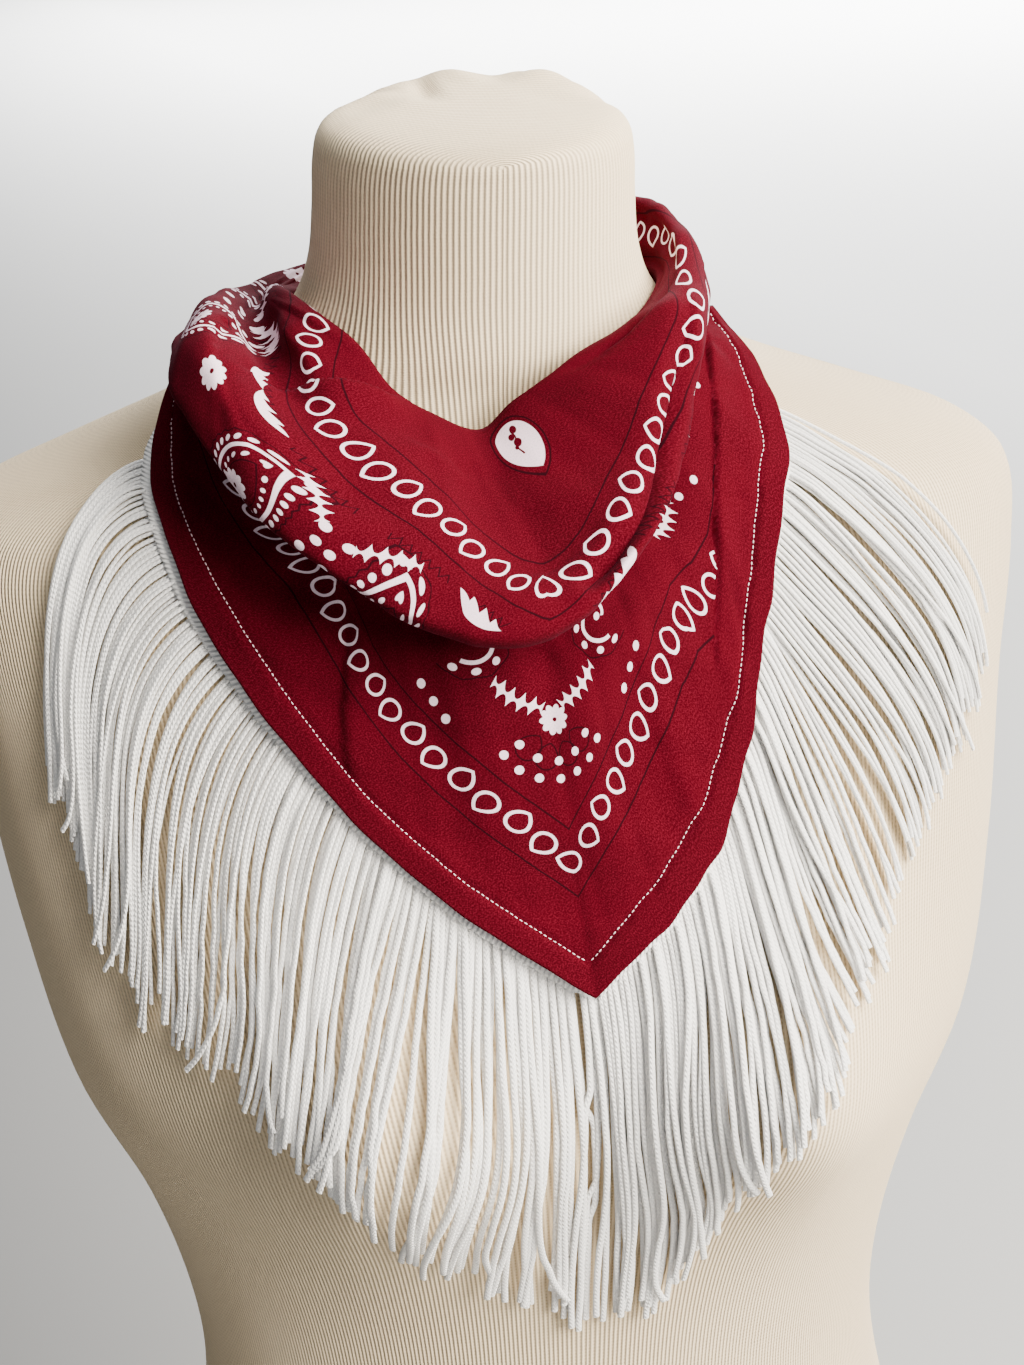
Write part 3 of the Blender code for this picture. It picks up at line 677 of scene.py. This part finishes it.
def cottonInk(tree, a, b):      # a and b: distances from the two hemmed edges, mm
    ink = {"white": 0.0, "black": 0.0}
    depth = a.maths("MINIMUM", b)
    along = a.maths("MAXIMUM", b)

    def add(colour, mask):
        ink[colour] = mask.maths("MAXIMUM", ink[colour])

    def inside(distance, half, size=1.0):      # 1 where distance is under half
        soft = cotton["inkEdge"] / size
        return distance.maths("MULTIPLY_ADD", -1 / soft, half / soft + 0.5, clamp=True)

    def joined(x, y):
        return addNode(tree, "ShaderNodeCombineXYZ", {0: x, 1: y}).outputs[0]

    def apart(vector, spot):
        node = addNode(tree, "ShaderNodeVectorMath", {0: vector, 1: (*spot, 0.0)}, operation="DISTANCE")
        return Number(tree, node.outputs["Value"])

    def local(vector, spot, turn, size):      # a motif's own x and y, radius and angle
        node = addNode(tree, "ShaderNodeMapping", {
            "Vector": vector, "Location": (*spot, 0.0), "Rotation": (0.0, 0.0, math.radians(turn)),
            "Scale": (size, size, 1.0)}, vector_type="TEXTURE")
        x, y, _ = splitVector(tree, node.outputs[0])
        return x, y, apart(node.outputs[0], (0.0, 0.0)), y.maths("ARCTAN2", x)

    def dropEdge(angle, blunt=0.93, tip=0.52):      # a round end, and a pointed one at angle 0
        return (abs(angle) * (-1 / math.pi) + 1.0) ** 5.0 * tip + blunt

    def outline(away, edge, half, size):
        return inside(abs(away - edge), half / size, size)

    def beads(away, angle, ring, count, half, size):      # dots at equal angles on a ring
        gap = angle.maths("PINGPONG", math.pi / count) * ring
        off = away - ring
        return inside((gap * gap + off * off).maths("SQRT"), half / size, size)

    def bend(away, angle, curl):      # bends a motif's tip to one side
        return (away * curl + angle).maths("WRAP", math.pi, -math.pi)

    # each motif's shape is in shares of its size, and its lines' half widths are in millimetres
    def drawDot(vector, spot, turn, size, mask):
        add("white", inside(apart(vector, spot), size) * mask)

    def drawFlower(vector, spot, turn, size, mask):      # ten petals round a dark eye
        _, _, away, angle = local(vector, spot, turn, size)
        edge = abs((angle * 5.0).maths("COSINE")) * 0.24 + 0.72
        add("white", inside(away - edge, 0.0, size) * (1 - inside(away, 0.14, size)) * mask)

    def drawArc(vector, spot, turn, size, mask):      # a bow of dots
        _, _, away, angle = local(vector, spot, turn, size)
        dots = beads(away, angle, 1.0, round(size * 0.92), 1.45, size)
        add("white", dots * (abs(angle) < 1.15) * mask)

    def drawLoop(vector, spot, turn, size, mask):      # thin dark petal
        _, _, away, angle = local(vector, spot, turn + 180, size)
        add("black", outline(away, dropEdge(angle), 0.24, size) * mask)

    def drawScroll(vector, spot, turn, size, mask):      # a curl with dots outside it
        _, _, away, angle = local(vector, spot, turn, size)
        outer = away - (angle * 0.145 + 0.70)
        curl = inside(abs(outer), 0.68 / size, size) * (abs(angle) < 2.7)
        curl = curl.maths("MAXIMUM", inside(away - 0.16, 0.0, size))
        gap = angle.maths("PINGPONG", math.pi / 9)
        spread = (gap * gap + (outer - 0.36) ** 2.0).maths("SQRT")
        dots = inside(spread, 1.15 / size, size) * (angle > -0.6)
        add("white", curl.maths("MAXIMUM", dots) * mask)
        add("black", outline(outer, gap * 0.25 + 0.60, 0.22, size) * (angle > -0.8) * mask)

    def drawLeaf(vector, spot, turn, size, mask):      # solid, cut into steps on one side
        x, y, _, _ = local(vector, spot, turn, size)
        square = x * x
        rise = y - square * 0.28
        steps = (x * 1.9).maths("FLOORED_MODULO", 1.0) * (rise > 0.0)
        half = (steps * 0.26 + 0.17) * (1 - square)
        add("white", inside(abs(rise) - half, 0.0, size) * mask)

    def drawSpray(vector, spot, turn, size, mask):      # narrow leaves in pairs on a stalk
        x, y, _, _ = local(vector, spot, turn, size)
        rise = abs(y - x * x * 0.18)
        half = ((x * 2.4).maths("PINGPONG", 0.5) * 2.0) ** 2.2 * 0.34 + 0.05
        add("white", inside(rise - half, 0.0, size) * (abs(x) < 1.0) * mask)

    def drawBoteh(vector, spot, turn, size, mask):      # a bent drop with dots round it
        _, _, away, angle = local(vector, spot, turn, size)
        bent = bend(away, angle, 0.42)
        share = away / dropEdge(bent, 0.70, 0.95)
        white = outline(share, 1.0, 0.75, size)
        for ring, count, half in ((0.74, 17, 0.85), (1.24, 25, 1.15)):
            white = white.maths("MAXIMUM", beads(share, bent, ring, count, half, size))
        add("white", white * mask)
        scallop = bent.maths("PINGPONG", math.pi / 25) * 0.5 + 1.42
        black = outline(share, scallop, 0.24, size).maths("MAXIMUM", outline(share, 0.56, 0.22, size))
        add("black", black * mask)

    draw = {"dot": drawDot, "flower": drawFlower, "arc": drawArc, "loop": drawLoop, "leaf": drawLeaf,
            "scroll": drawScroll, "spray": drawSpray, "boteh": drawBoteh}

    for key in ("marginLine", "outerBandLine", "innerBandLine", "middleLine"):
        add("black", inside(abs(depth - cotton[key]), cotton["blackLine"]))

    size, pitch = cotton["dropSize"], cotton["pitch"]
    for level, cornerLean in ((cotton["outerDrops"], 112), (cotton["innerDrops"], 45)):
        steps = (along - level) / pitch
        cell = steps.maths("ROUND")
        flip = 1 - cell.maths("FLOORED_MODULO", 2.0) * 2.0      # every other drop points back
        row = joined((steps - cell) * pitch * flip, (depth - level) * (flip * cotton["dropFlat"]))
        for vector, spot, turn, own, shown in (
                (row, (0, 0), cotton["dropLean"], size, steps > 0.5),
                (joined(a, b), (level, level), cornerLean, size * cotton["cornerDrop"], steps < 0.5)):
            _, _, away, angle = local(vector, spot, turn, own)
            add("white", outline(away, dropEdge(angle), cotton["whiteLine"], size) * shown)

    clearOf = cotton["fillingGap"]      # the filling keeps clear of the border's lines
    inBand = (depth > cotton["outerBandLine"] + clearOf) * (depth < cotton["innerBandLine"] - clearOf)
    unitPlace = joined((along - cotton["bandStart"]).maths("PINGPONG", cotton["bandUnit"]), depth)
    mask = inBand * (along > cotton["bandStart"])
    for kind, spot, turn, size in bandMotifs:
        draw[kind](unitPlace, spot, turn, size, mask)
    zigzag = along.maths("PINGPONG", 1.9) * 1.5 + (cotton["innerBandLine"] - 8.0)
    ragged = along.maths("PINGPONG", 17.0) > 5.0
    add("black", inside(abs(depth - zigzag), 0.36) * ragged * mask)

    root = math.sqrt(0.5)
    diagonal = joined(abs(a - b) * root, (a + b) * root)
    mask = inBand * (along < cotton["bandStart"])
    for kind, spot, turn, size in cornerMotifs:
        draw[kind](diagonal, spot, turn, size, mask)

    # one solid drop on the plain middle, with a sprig left open in it and a dark line round it
    spotA, spotB = cotton["loneDrop"]
    askew = joined(*((a - spotA) * rise + (b - spotB) * run for rise, run in cotton["loneLean"]))
    turn, size = cotton["loneTurn"], cotton["loneSize"]
    _, _, away, angle = local(askew, (0, 0), turn, size)
    share = away / dropEdge(bend(away, angle, 0.30), 0.90, 0.66)
    x, y, _, _ = local(askew, (0, 0), turn - 45, size)
    stalk = abs((x * 7.0).maths("SINE") * 0.07 + y) - 0.045
    sprig = stalk.maths("MAXIMUM", abs(x - 0.08) - 0.56)
    for spot, radius in cotton["sprig"]:
        sprig = sprig.maths("MINIMUM", apart(joined(x, y), spot) - radius)
    add("white", inside(share - 1.0, 0.0, size) * (1 - inside(sprig, 0.0, size)))
    add("black", outline(share, 1.22, 0.30, size))
    return ink["white"], ink["black"]


def cottonFinish():
    tree, shader, material = finish("printedCotton", 0.9, sheen=0.05, specular=0.02)
    shader.inputs["Sheen Tint"].default_value = (0.62, 0.18, 0.30, 1.0)
    flat = mapUv(tree, "clothMap")
    wobble = addNode(tree, "ShaderNodeTexNoise", {"Vector": flat, "Scale": 70.0}).outputs["Color"]
    most = cotton["printShift"] * mm      # the printing is never quite true
    shift = addNode(tree, "ShaderNodeVectorMath", {0: wobble, 1: (most, most, 0.0), 2: flat},
                    operation="MULTIPLY_ADD")
    a, b = (part * 1000.0 for part in splitVector(tree, shift.outputs[0])[:2])      # in millimetres
    white, black = cottonInk(tree, a, b)

    fine = noiseValue(tree, flat, 1900.0)
    warp, weft = ((part * (2 * math.pi / cotton["weave"])).maths("SINE") for part in (a, b))
    weave = warp * weft
    patch = noiseValue(tree, flat, 38.0, 3.0)
    ground = mixColour(tree, (patch * 1.1 - 0.20).clamped(), cotton["deep"], cotton["red"])
    speck = (weave * 0.30 + (fine * 3.6 - 1.55)).clamped()
    turned = (hem["stitchLine"] - 0.5 - a.maths("MINIMUM", b)).clamped()
    ground = mixColour(tree, turned * 0.55, ground, cotton["deep"])      # the hem is double
    ground = mixColour(tree, speck * 0.62, ground, cotton["glint"])
    inked = mixColour(tree, black * 0.88, ground, cotton["black"])
    thread = mixColour(tree, speck, cotton["white"], tuple(v * 0.80 for v in cotton["white"]))
    plug(tree, shader.inputs["Base Color"], mixColour(tree, white, inked, thread))
    addBump(tree, shader, weave * 0.30 + fine, 0.35, 0.00018)
    return material


printedCotton = cottonFinish()


def sheetNet(sheet, makeColumn, shares, levels):
    columns = [makeColumn(share, levels) for share in shares]
    net = np.array([column for column, _ in columns])
    flat = np.array([places for _, places in columns])
    return net, flat, creaseRise(sheet, shares, levels, net) + rippleRise(flat)


def makeCowl():
    count, steps = cotton["cowlGrid"]
    shares = np.linspace(cowlShares[0], cowlShares[-1], count)
    levels = np.linspace(cowlMarks[0], cowlMarks[-1], steps)
    net, flat, rise = sheetNet("cowl", cowlColumn, shares, levels)
    shareGrid, levelGrid = np.meshgrid(shares, levels, indexing="ij")
    shown = np.clip((levelGrid + 0.02) / 0.12, 0.0, 1.0)
    far = np.clip(np.abs(shareGrid) - 1.1, 0.0, 1.0)      # pleats gather towards the knot
    pleats = far * 1.7 * np.sin(2 * math.pi * (levelGrid * 3.1 + 0.25 * np.sin(shareGrid * 3.0)))
    net = net + netNormals(net) * ((rise + pleats) * shown)[..., None]
    piece = netPiece("cottonCowl", net, flat, printedCotton, cotton["thickness"])
    return dress(piece, "cotton", "scarf_cowl", "scarf_left_wrap", "scarf_right_wrap")


def makeBib():
    count, steps = cotton["bibGrid"]
    shares = np.concatenate((np.linspace(-1.0, 0.0, count), np.linspace(0.0, 1.0, count)[1:]))
    levels = np.linspace(0.0, 1.0, steps)
    net, flat, rise = sheetNet("bib", bibColumn, shares, levels)
    depth, along = flat.min(axis=2), flat.max(axis=2)
    rise *= np.clip((depth - 2.0) / 12.0, 0.2, 1.0)
    stitch = hem["stitchLine"]      # the hem is thick, and puckers at its stitches
    pucker = 1 + 0.40 * np.sin(along * 2 * math.pi / 9.7) + 0.25 * np.sin(along * 2 * math.pi / 5.3)
    rise += 0.6 * np.clip((stitch - depth) / 2.0, 0.0, 1.0)
    rise -= 0.5 * pucker * np.exp(-((depth - stitch) / 1.4) ** 2)
    net = net + netNormals(net) * rise[..., None]
    edgeWay = net[:, -1] - net[:, -6]
    edgeWay /= np.linalg.norm(edgeWay, axis=1, keepdims=True)
    sway = 0.8 * np.sin(along[:, -1] / 6.3 + 1.0) + 0.5 * np.sin(along[:, -1] / 3.1)
    sway *= np.clip(shares * 4, 0.25, 1.0) * np.clip((1 - np.abs(shares)) * 5, 0.0, 1.0)
    net += (edgeWay * sway[:, None])[:, None] * np.clip(1 - depth / 30.0, 0.0, 1.0)[..., None]
    piece = netPiece("cottonBib", net, flat, printedCotton, cotton["thickness"])
    return dress(piece, "cotton", "scarf_bib"), net, flat, shares


cottonCowl = makeCowl()
cottonBib, bibNet, bibFlat, bibShares = makeBib()
print("cowl and bib ready")


def geometryTree(name, inputs):      # an empty tree with a mesh in, a mesh out and named inputs
    tree = bpy.data.node_groups.new(name, "GeometryNodeTree")
    tree.interface.new_socket("Geometry", in_out="INPUT", socket_type="NodeSocketGeometry")
    for label, kind, value in inputs:
        socket = tree.interface.new_socket(label, in_out="INPUT", socket_type="NodeSocket" + kind)
        if value is not None:
            socket.default_value = value
    tree.interface.new_socket("Geometry", in_out="OUTPUT", socket_type="NodeSocketGeometry")
    return tree, tree.nodes.new("NodeGroupInput").outputs


def endTree(tree, given, shape):      # real meshes instead of instances, and their material
    real = addNode(tree, "GeometryNodeRealizeInstances", {0: shape}).outputs[0]
    paint = addNode(tree, "GeometryNodeSetMaterial", {"Geometry": real, "Material": given["Material"]})
    addNode(tree, "NodeGroupOutput", {0: paint.outputs[0]})
    return tree


def useTree(piece, tree, values):      # values go in by each socket's identifier
    modifier = piece.modifiers.new(tree.name, "NODES")
    modifier.node_group = tree
    for socket in tree.interface.items_tree:
        if socket.item_type == "SOCKET" and socket.in_out == "INPUT" and socket.name in values:
            modifier[socket.identifier] = values[socket.name]
    plainMesh(piece).data.shade_smooth()


def stitchTree():
    tree, given = geometryTree("hemStitches", (
        ("Pitch", "Float", 0.0023), ("Length", "Float", 0.0015), ("Width", "Float", 0.0005),
        ("Material", "Material", None)))
    curve = addNode(tree, "GeometryNodeMeshToCurve", {0: given["Geometry"]})
    spots = addNode(tree, "GeometryNodeCurveToPoints", {"Curve": curve.outputs[0], "Length": given["Pitch"]},
                    mode="LENGTH").outputs
    bead = addNode(tree, "GeometryNodeMeshUVSphere", {"Segments": 8, "Rings": 6, "Radius": 0.5})
    stretch = addNode(tree, "ShaderNodeCombineXYZ",
                      {0: given["Width"], 1: given["Width"], 2: given["Length"]})
    place = addNode(tree, "GeometryNodeInstanceOnPoints", {
        "Points": spots["Points"], "Rotation": spots["Rotation"], "Instance": bead.outputs["Mesh"],
        "Scale": stretch.outputs[0]})
    return endTree(tree, given, place.outputs[0])


def wirePiece(name, paths):      # a mesh of bare edges, one chain for each path
    mesh = bpy.data.meshes.new(name)
    edges, first = [], 0
    for way in paths:
        edges += [(first + i, first + i + 1) for i in range(len(way) - 1)]
        first += len(way)
    mesh.from_pydata([tuple(p) for p in toFrame(np.concatenate(paths))], edges, [])
    piece = bpy.data.objects.new(name, mesh)
    bpy.context.scene.collection.objects.link(piece)
    return piece


def makeStitches():
    _, shader, material = finish("hemThread", 0.6, sheen=0.2, specular=0.2)
    shader.inputs["Base Color"].default_value = (*hem["thread"], 1.0)
    normals = netNormals(bibNet)
    if normals[len(bibShares) // 2, -1, 1] > 0:      # towards the one who looks at the bib
        normals = -normals
    paths = ([], [])
    for c, share in enumerate(bibShares):
        depths = bibFlat[c].min(axis=1)
        across = bibFlat[c].max(axis=1)
        r = np.interp(hem["stitchLine"], depths[::-1], np.arange(len(depths))[::-1])
        i = min(int(r), len(depths) - 2)
        f = r - i
        if across[i] < hem["stitchLine"] + 1.0:
            continue
        spot = bibNet[c, i] * (1 - f) + bibNet[c, i + 1] * f
        lift = cotton["thickness"] / 2 + hem["stitchRise"] * 0.3
        paths[0 if share < 0 else 1].append(spot + normals[c, i] * lift)
    stitches = wirePiece("hemStitches", paths)
    useTree(stitches, stitchTree(), {"Pitch": hem["stitchPitch"] * mm, "Length": hem["stitchLength"] * mm,
                                     "Width": hem["stitchWidth"] * mm, "Material": material})
    return dress(stitches, "cotton", "scarf_bib")


hemStitches = makeStitches()
print("hem stitches ready")


fringe = {
    "cords": (170, 182), "width": 2.4, "depth": 1.3, "pitch": 1.7, "sides": 8, "step": 1.6,
    "corner": 0.004, "hemEnd": 0.80,      # the shares of the hem between which cords hang
    "rootGap": 2.6, "gaps": (2.4, 4.0, 5.7),      # from the form, at the hem and in each layer
    "swing": (42.0, 12.0), "lead": (0.0, 0.65), "points": 22, "seed": 11,
    "strays": 0.13, "hooks": 0.30, "curlFrom": 0.72,
    "white": (0.95, 0.935, 0.915), "shade": (0.78, 0.77, 0.765),
    # where the ends hang: share along the hem, then angle, radius, height
    "ends": ((-0.80, 68, 176, 525), (-0.70, 65, 173, 507), (-0.55, 59, 174, 460), (-0.42, 49, 170, 441),
             (-0.32, 37, 177, 420), (-0.20, 27, 182, 402), (-0.10, 17, 145, 355), (0.00, -2, 129, 328),
             (0.10, -12, 133, 340), (0.20, -17, 160, 378), (0.30, -22, 178, 410), (0.42, -38, 168, 445),
             (0.52, -54, 164, 485), (0.66, -63, 172, 507), (0.80, -71, 178, 536)),
}
endShares = [row[0] for row in fringe["ends"]]


def cordFinish():
    tree, shader, material = finish("braidedCord", 0.55, sheen=0.15, specular=0.35)
    across, length, _ = splitVector(tree, mapUv(tree, "cordMap"))
    fold = (abs(across * 2.0 - 1.0) * 2.0).maths("PINGPONG", 0.5)
    loops = waveOf(length / (fringe["pitch"] * mm) + fold * 1.1)
    colour = mixColour(tree, loops ** 2.5 * 0.7, fringe["white"], fringe["shade"])
    plug(tree, shader.inputs["Base Color"], colour)
    addBump(tree, shader, 1 - loops, 0.7, 0.0003)
    return material


def cordTree():
    tree, given = geometryTree("braidedCords", (
        ("Width", "Float", 0.002), ("Depth", "Float", 0.0015), ("Step", "Float", 0.0015), ("Sides", "Int", 8),
        ("Material", "Material", None)))

    def keep(curve, name, measure):      # carries a place on a curve over to the mesh
        node = tree.nodes.new("GeometryNodeCaptureAttribute")
        node.capture_items.new("FLOAT", name)
        plug(tree, node.inputs["Geometry"], curve)
        plug(tree, node.inputs[name], tree.nodes.new("GeometryNodeSplineParameter").outputs[measure])
        return node.outputs["Geometry"], node.outputs[name]

    curve = addNode(tree, "GeometryNodeMeshToCurve", {0: given["Geometry"]})
    smooth = addNode(tree, "GeometryNodeCurveSplineType", {0: curve.outputs[0]}, spline_type="CATMULL_ROM")
    evenly = addNode(tree, "GeometryNodeResampleCurve", {"Curve": smooth.outputs[0], "Length": given["Step"]},
                     mode="LENGTH")
    path, length = keep(evenly.outputs[0], "Length", "Length")
    ring = addNode(tree, "GeometryNodeCurvePrimitiveCircle", {"Resolution": given["Sides"], "Radius": 0.5})
    flatten = addNode(tree, "ShaderNodeCombineXYZ", {0: given["Width"], 1: given["Depth"], 2: 1.0})
    oval = addNode(tree, "GeometryNodeTransform", {"Geometry": ring.outputs[0], "Scale": flatten.outputs[0]})
    profile, turn = keep(oval.outputs[0], "Round", "Factor")
    tube = addNode(tree, "GeometryNodeCurveToMesh",
                   {"Curve": path, "Profile Curve": profile, "Fill Caps": True})
    pair = addNode(tree, "ShaderNodeCombineXYZ", {0: turn, 1: length})
    store = addNode(tree, "GeometryNodeStoreNamedAttribute", {
        "Name": "cordMap", "Geometry": tube.outputs[0], "Value": pair.outputs[0]},
        data_type="FLOAT2", domain="CORNER")
    return endTree(tree, given, store.outputs[0])


def hemPoint(share):      # a point of the hem, and the cloth's way up from it
    c = np.interp(share, bibShares, np.arange(len(bibShares)))
    i = min(int(c), len(bibShares) - 2)
    f = c - i
    low = bibNet[i] * (1 - f) + bibNet[i + 1] * f
    return low[-1], unit(low[-4] - low[-1])


def cordPath(share, endShare, gap, slack, stray, hook, rng):
    left = 0 if share < 0 else 1
    edge, up = hemPoint(share)
    root, normal = onForm(edge + up * 4.0, fringe["rootGap"])
    angle, radius, height = spline(endShares, [row[1:] for row in fringe["ends"]], endShare)
    end, endNormal = onForm(polar(-angle, radius, height), gap)
    reach = np.linalg.norm(end - root)
    drop = np.array((0.0, 0.0, -1.0))
    drop = unit(drop - endNormal * np.dot(drop, endNormal))
    end = end + drop * slack
    lead = fringe["lead"][left] * min(abs(share) / 0.4, 1.0)
    out = unit((end - root) / reach * lead - up * (1 - lead))
    first = root + out * reach * 0.30
    last = end - drop * reach * 0.30
    bow = (normal + endNormal) * fringe["swing"][left] * 0.5
    wave = rng.uniform(0, 2 * math.pi, 3)
    size, pace = rng.uniform(0.4, 1.7), rng.uniform(3.0, 6.5)
    side = np.cross(endNormal, drop)
    path = []
    for t in np.linspace(0.0, 1.0, fringe["points"]):
        p = (root * (1 - t) ** 3 + first * 3 * t * (1 - t) ** 2 + last * 3 * t * t * (1 - t) + end * t ** 3)
        p = p + bow * t * (1 - t)
        sway = size * math.sin(pace * t + wave[0]) + 0.4 * math.sin(11 * t + wave[1])
        p = p + side * (sway * t + stray * math.sin(3.6 * t + wave[2]) * t * t)
        curl = max(t - fringe["curlFrom"], 0.0) / (1 - fringe["curlFrom"])      # some ends turn aside and up
        p = p + side * hook * curl ** 2 - drop * abs(hook) * 0.55 * curl ** 3
        here = fringe["rootGap"] + (gap - fringe["rootGap"]) * min(t / 0.12, 1.0)
        path.append(onForm(p, here)[0])
    return path


def finishFringe(piece, side):
    return dress(piece, "fringe_cord", ("fringe_right", "fringe_left")[side])


def makeFringe(side):
    count = fringe["cords"][side]
    rng = np.random.default_rng(fringe["seed"] + side)
    low, high = ((-fringe["hemEnd"], -fringe["corner"]), (fringe["corner"], fringe["hemEnd"]))[side]
    shares = np.linspace(low, high, count) + rng.uniform(-0.0014, 0.0014, count)
    ends = shares.copy()
    slack = np.zeros(count)
    k = 0
    while k < count:      # cords hang in loose clumps
        size = int(rng.integers(2, 9))
        group = slice(k, min(k + size, count))
        middle = ends[group].mean() + rng.uniform(-0.008, 0.008)
        ends[group] = middle + (ends[group] - middle) * rng.uniform(0.20, 0.90)
        slack[group] = rng.uniform(-5.0, 4.0)
        k += size
    ends += rng.normal(0.0, 0.0070, count)
    layers = ([], [], [])
    for i in range(count):
        layer = i % 2 if rng.random() > 0.12 else 1
        stray = rng.uniform(-1.5, 1.5)
        hook = 0.0
        if rng.random() < fringe["strays"]:
            layer, stray = 2, rng.choice((-1, 1)) * rng.uniform(3.0, 9.0)
            hook = rng.choice((-1, 1)) * rng.uniform(4.0, 11.0) * (rng.random() < fringe["hooks"])
        gap = fringe["gaps"][layer] + rng.uniform(-0.3, 0.3)
        give = slack[i] + rng.uniform(-6.0, 4.0)
        layers[layer].append(cordPath(shares[i], ends[i], gap, give, stray, hook, rng))
    pieces = []
    for layer, paths in enumerate(layers):
        piece = wirePiece("cords" + ("Right", "Left")[side] + ("Under", "Over", "Loose")[layer], paths)
        useTree(piece, cords, {"Width": fringe["width"] * mm, "Depth": fringe["depth"] * mm,
                               "Step": fringe["step"] * mm, "Sides": fringe["sides"],
                               "Material": braidedCord})
        pieces.append(finishFringe(piece, side))
    return pieces


def tapeFinish():
    tree, shader, material = finish("fringeTape", 0.6, sheen=0.15, specular=0.3)
    shader.inputs["Base Color"].default_value = (*fringe["white"], 1.0)
    length, across, _ = splitVector(tree, mapUv(tree, "clothMap"))
    addBump(tree, shader, waveOf((across * 0.5 + length) / (hem["tapeRib"] * mm)), 0.8, 0.0005)
    return material


def makeTape(side):      # the band that the cords hang from, sewn under the hem
    away = bibShares * (-1, 1)[side]
    arm = bibShares[(away > fringe["corner"]) & (away < hem["tapeEnd"])]
    places, widths = zip(*hem["tapeShows"])
    net, flat, length = [], [], 0.0
    for share in arm:
        edge, up = hemPoint(share)
        past = float(np.interp(share, places, widths))
        row = [onForm(edge + up * step, hem["tapeGap"])[0] for step in np.linspace(hem["tapeIn"], -past, 7)]
        if net:
            length += np.linalg.norm(row[-1] - net[-1][-1])
        net.append(row)
        flat.append([(length, step) for step in np.linspace(0.0, hem["tapeIn"] + past, 7)])
    name = "fringeTape" + ("Right", "Left")[side]
    return finishFringe(netPiece(name, np.array(net), np.array(flat), fringeTape, hem["tapeThickness"]), side)


fringeTape = tapeFinish()
braidedCord = cordFinish()
cords = cordTree()
fringePieces = [*makeFringe(0), *makeFringe(1), makeTape(0), makeTape(1), hemStitches]
print("fringe ready")

knot = {
    "centre": (0.0, neckAxis + 77, 668.0), "half": (17.39, 11.28, 14.1), "grid": (96, 56),
    # the tails: share down, place, width
    "tailGrid": (41, 70),
    "tailLine": ((0.0, 6, 97, 653.4, 9), (0.2, 12, 103, 632, 22), (0.5, 24, 110, 601, 33),
                 (0.8, 36, 114, 572, 26), (1.0, 43, 115, 552, 9)),
    "tailGap": 4.0, "tailTip": 6.0, "tailReach": 80.0, "tailGather": 1.05,
}


def makeKnot():
    sides, rings = knot["grid"]
    points, faces, uv = [], [], []
    for r in range(rings + 1):
        u = math.pi * r / rings
        for k in range(sides):
            v = 2 * math.pi * k / sides
            band = 0.10 * math.exp(-((math.sin(v - 0.35) * math.sin(u)) / 0.34) ** 2)
            creased = 0.05 * math.cos(3 * v + 2.2 * u) + 0.025 * math.cos(5.5 * v + 9 * u) * math.sin(u)
            way = np.array((math.sin(u) * math.cos(v), math.sin(u) * math.sin(v), math.cos(u)))
            points.append(np.array(knot["centre"]) + np.array(knot["half"]) * way * (1 + creased + band))
    for r in range(rings):
        for k in range(sides):
            m = (k + 1) % sides
            faces.append((r * sides + k, (r + 1) * sides + k, (r + 1) * sides + m, r * sides + m))
            for ring, side in ((r, k), (r + 1, k), (r + 1, k + 1), (r, k + 1)):
                uv.append(((470 + ring * 0.9) * mm, (75 + side * 0.9) * mm))
    piece = meshPiece("cottonKnot", toFrame(points), faces, printedCotton, uv)
    piece.modifiers.new("poles", "WELD").merge_threshold = 0.01 * mm
    return dress(plainMesh(piece), "cotton", "scarf_knot")


def makeTail(name, node, side):
    shares = [row[0] for row in knot["tailLine"]]
    places = [row[1:] for row in knot["tailLine"]]
    columns, steps = knot["tailGrid"]
    net, flat = [], []
    for across in np.linspace(-0.5, 0.5, columns):
        column, cut = [], []
        for t in np.linspace(0.0, 1.0, steps):
            x, y, z, width = spline(shares, places, t)
            pleat = 2.5 * math.cos(across * 9) * (1 - t) + 0.8 * math.sin(across * 17 + 5 * t) * t
            p = np.array((side * x + across * width, y + pleat, z + side * across * width * 0.35))
            column.append(clear(p, knot["tailGap"]))
            middle = knot["tailTip"] + (1 - t) * knot["tailReach"]      # up the corner's diagonal
            aside = across * width * knot["tailGather"]
            cut.append((middle + aside, middle - aside))
        net.append(column)
        flat.append(cut)
    piece = netPiece(name, np.array(net), np.array(flat, float), printedCotton, cotton["thickness"])
    return dress(piece, "cotton", node)


cottonKnot = makeKnot()
leftTail = makeTail("cottonLeftTail", "scarf_left_tail", 1)
rightTail = makeTail("cottonRightTail", "scarf_right_tail", -1)
print("knot and tails ready")
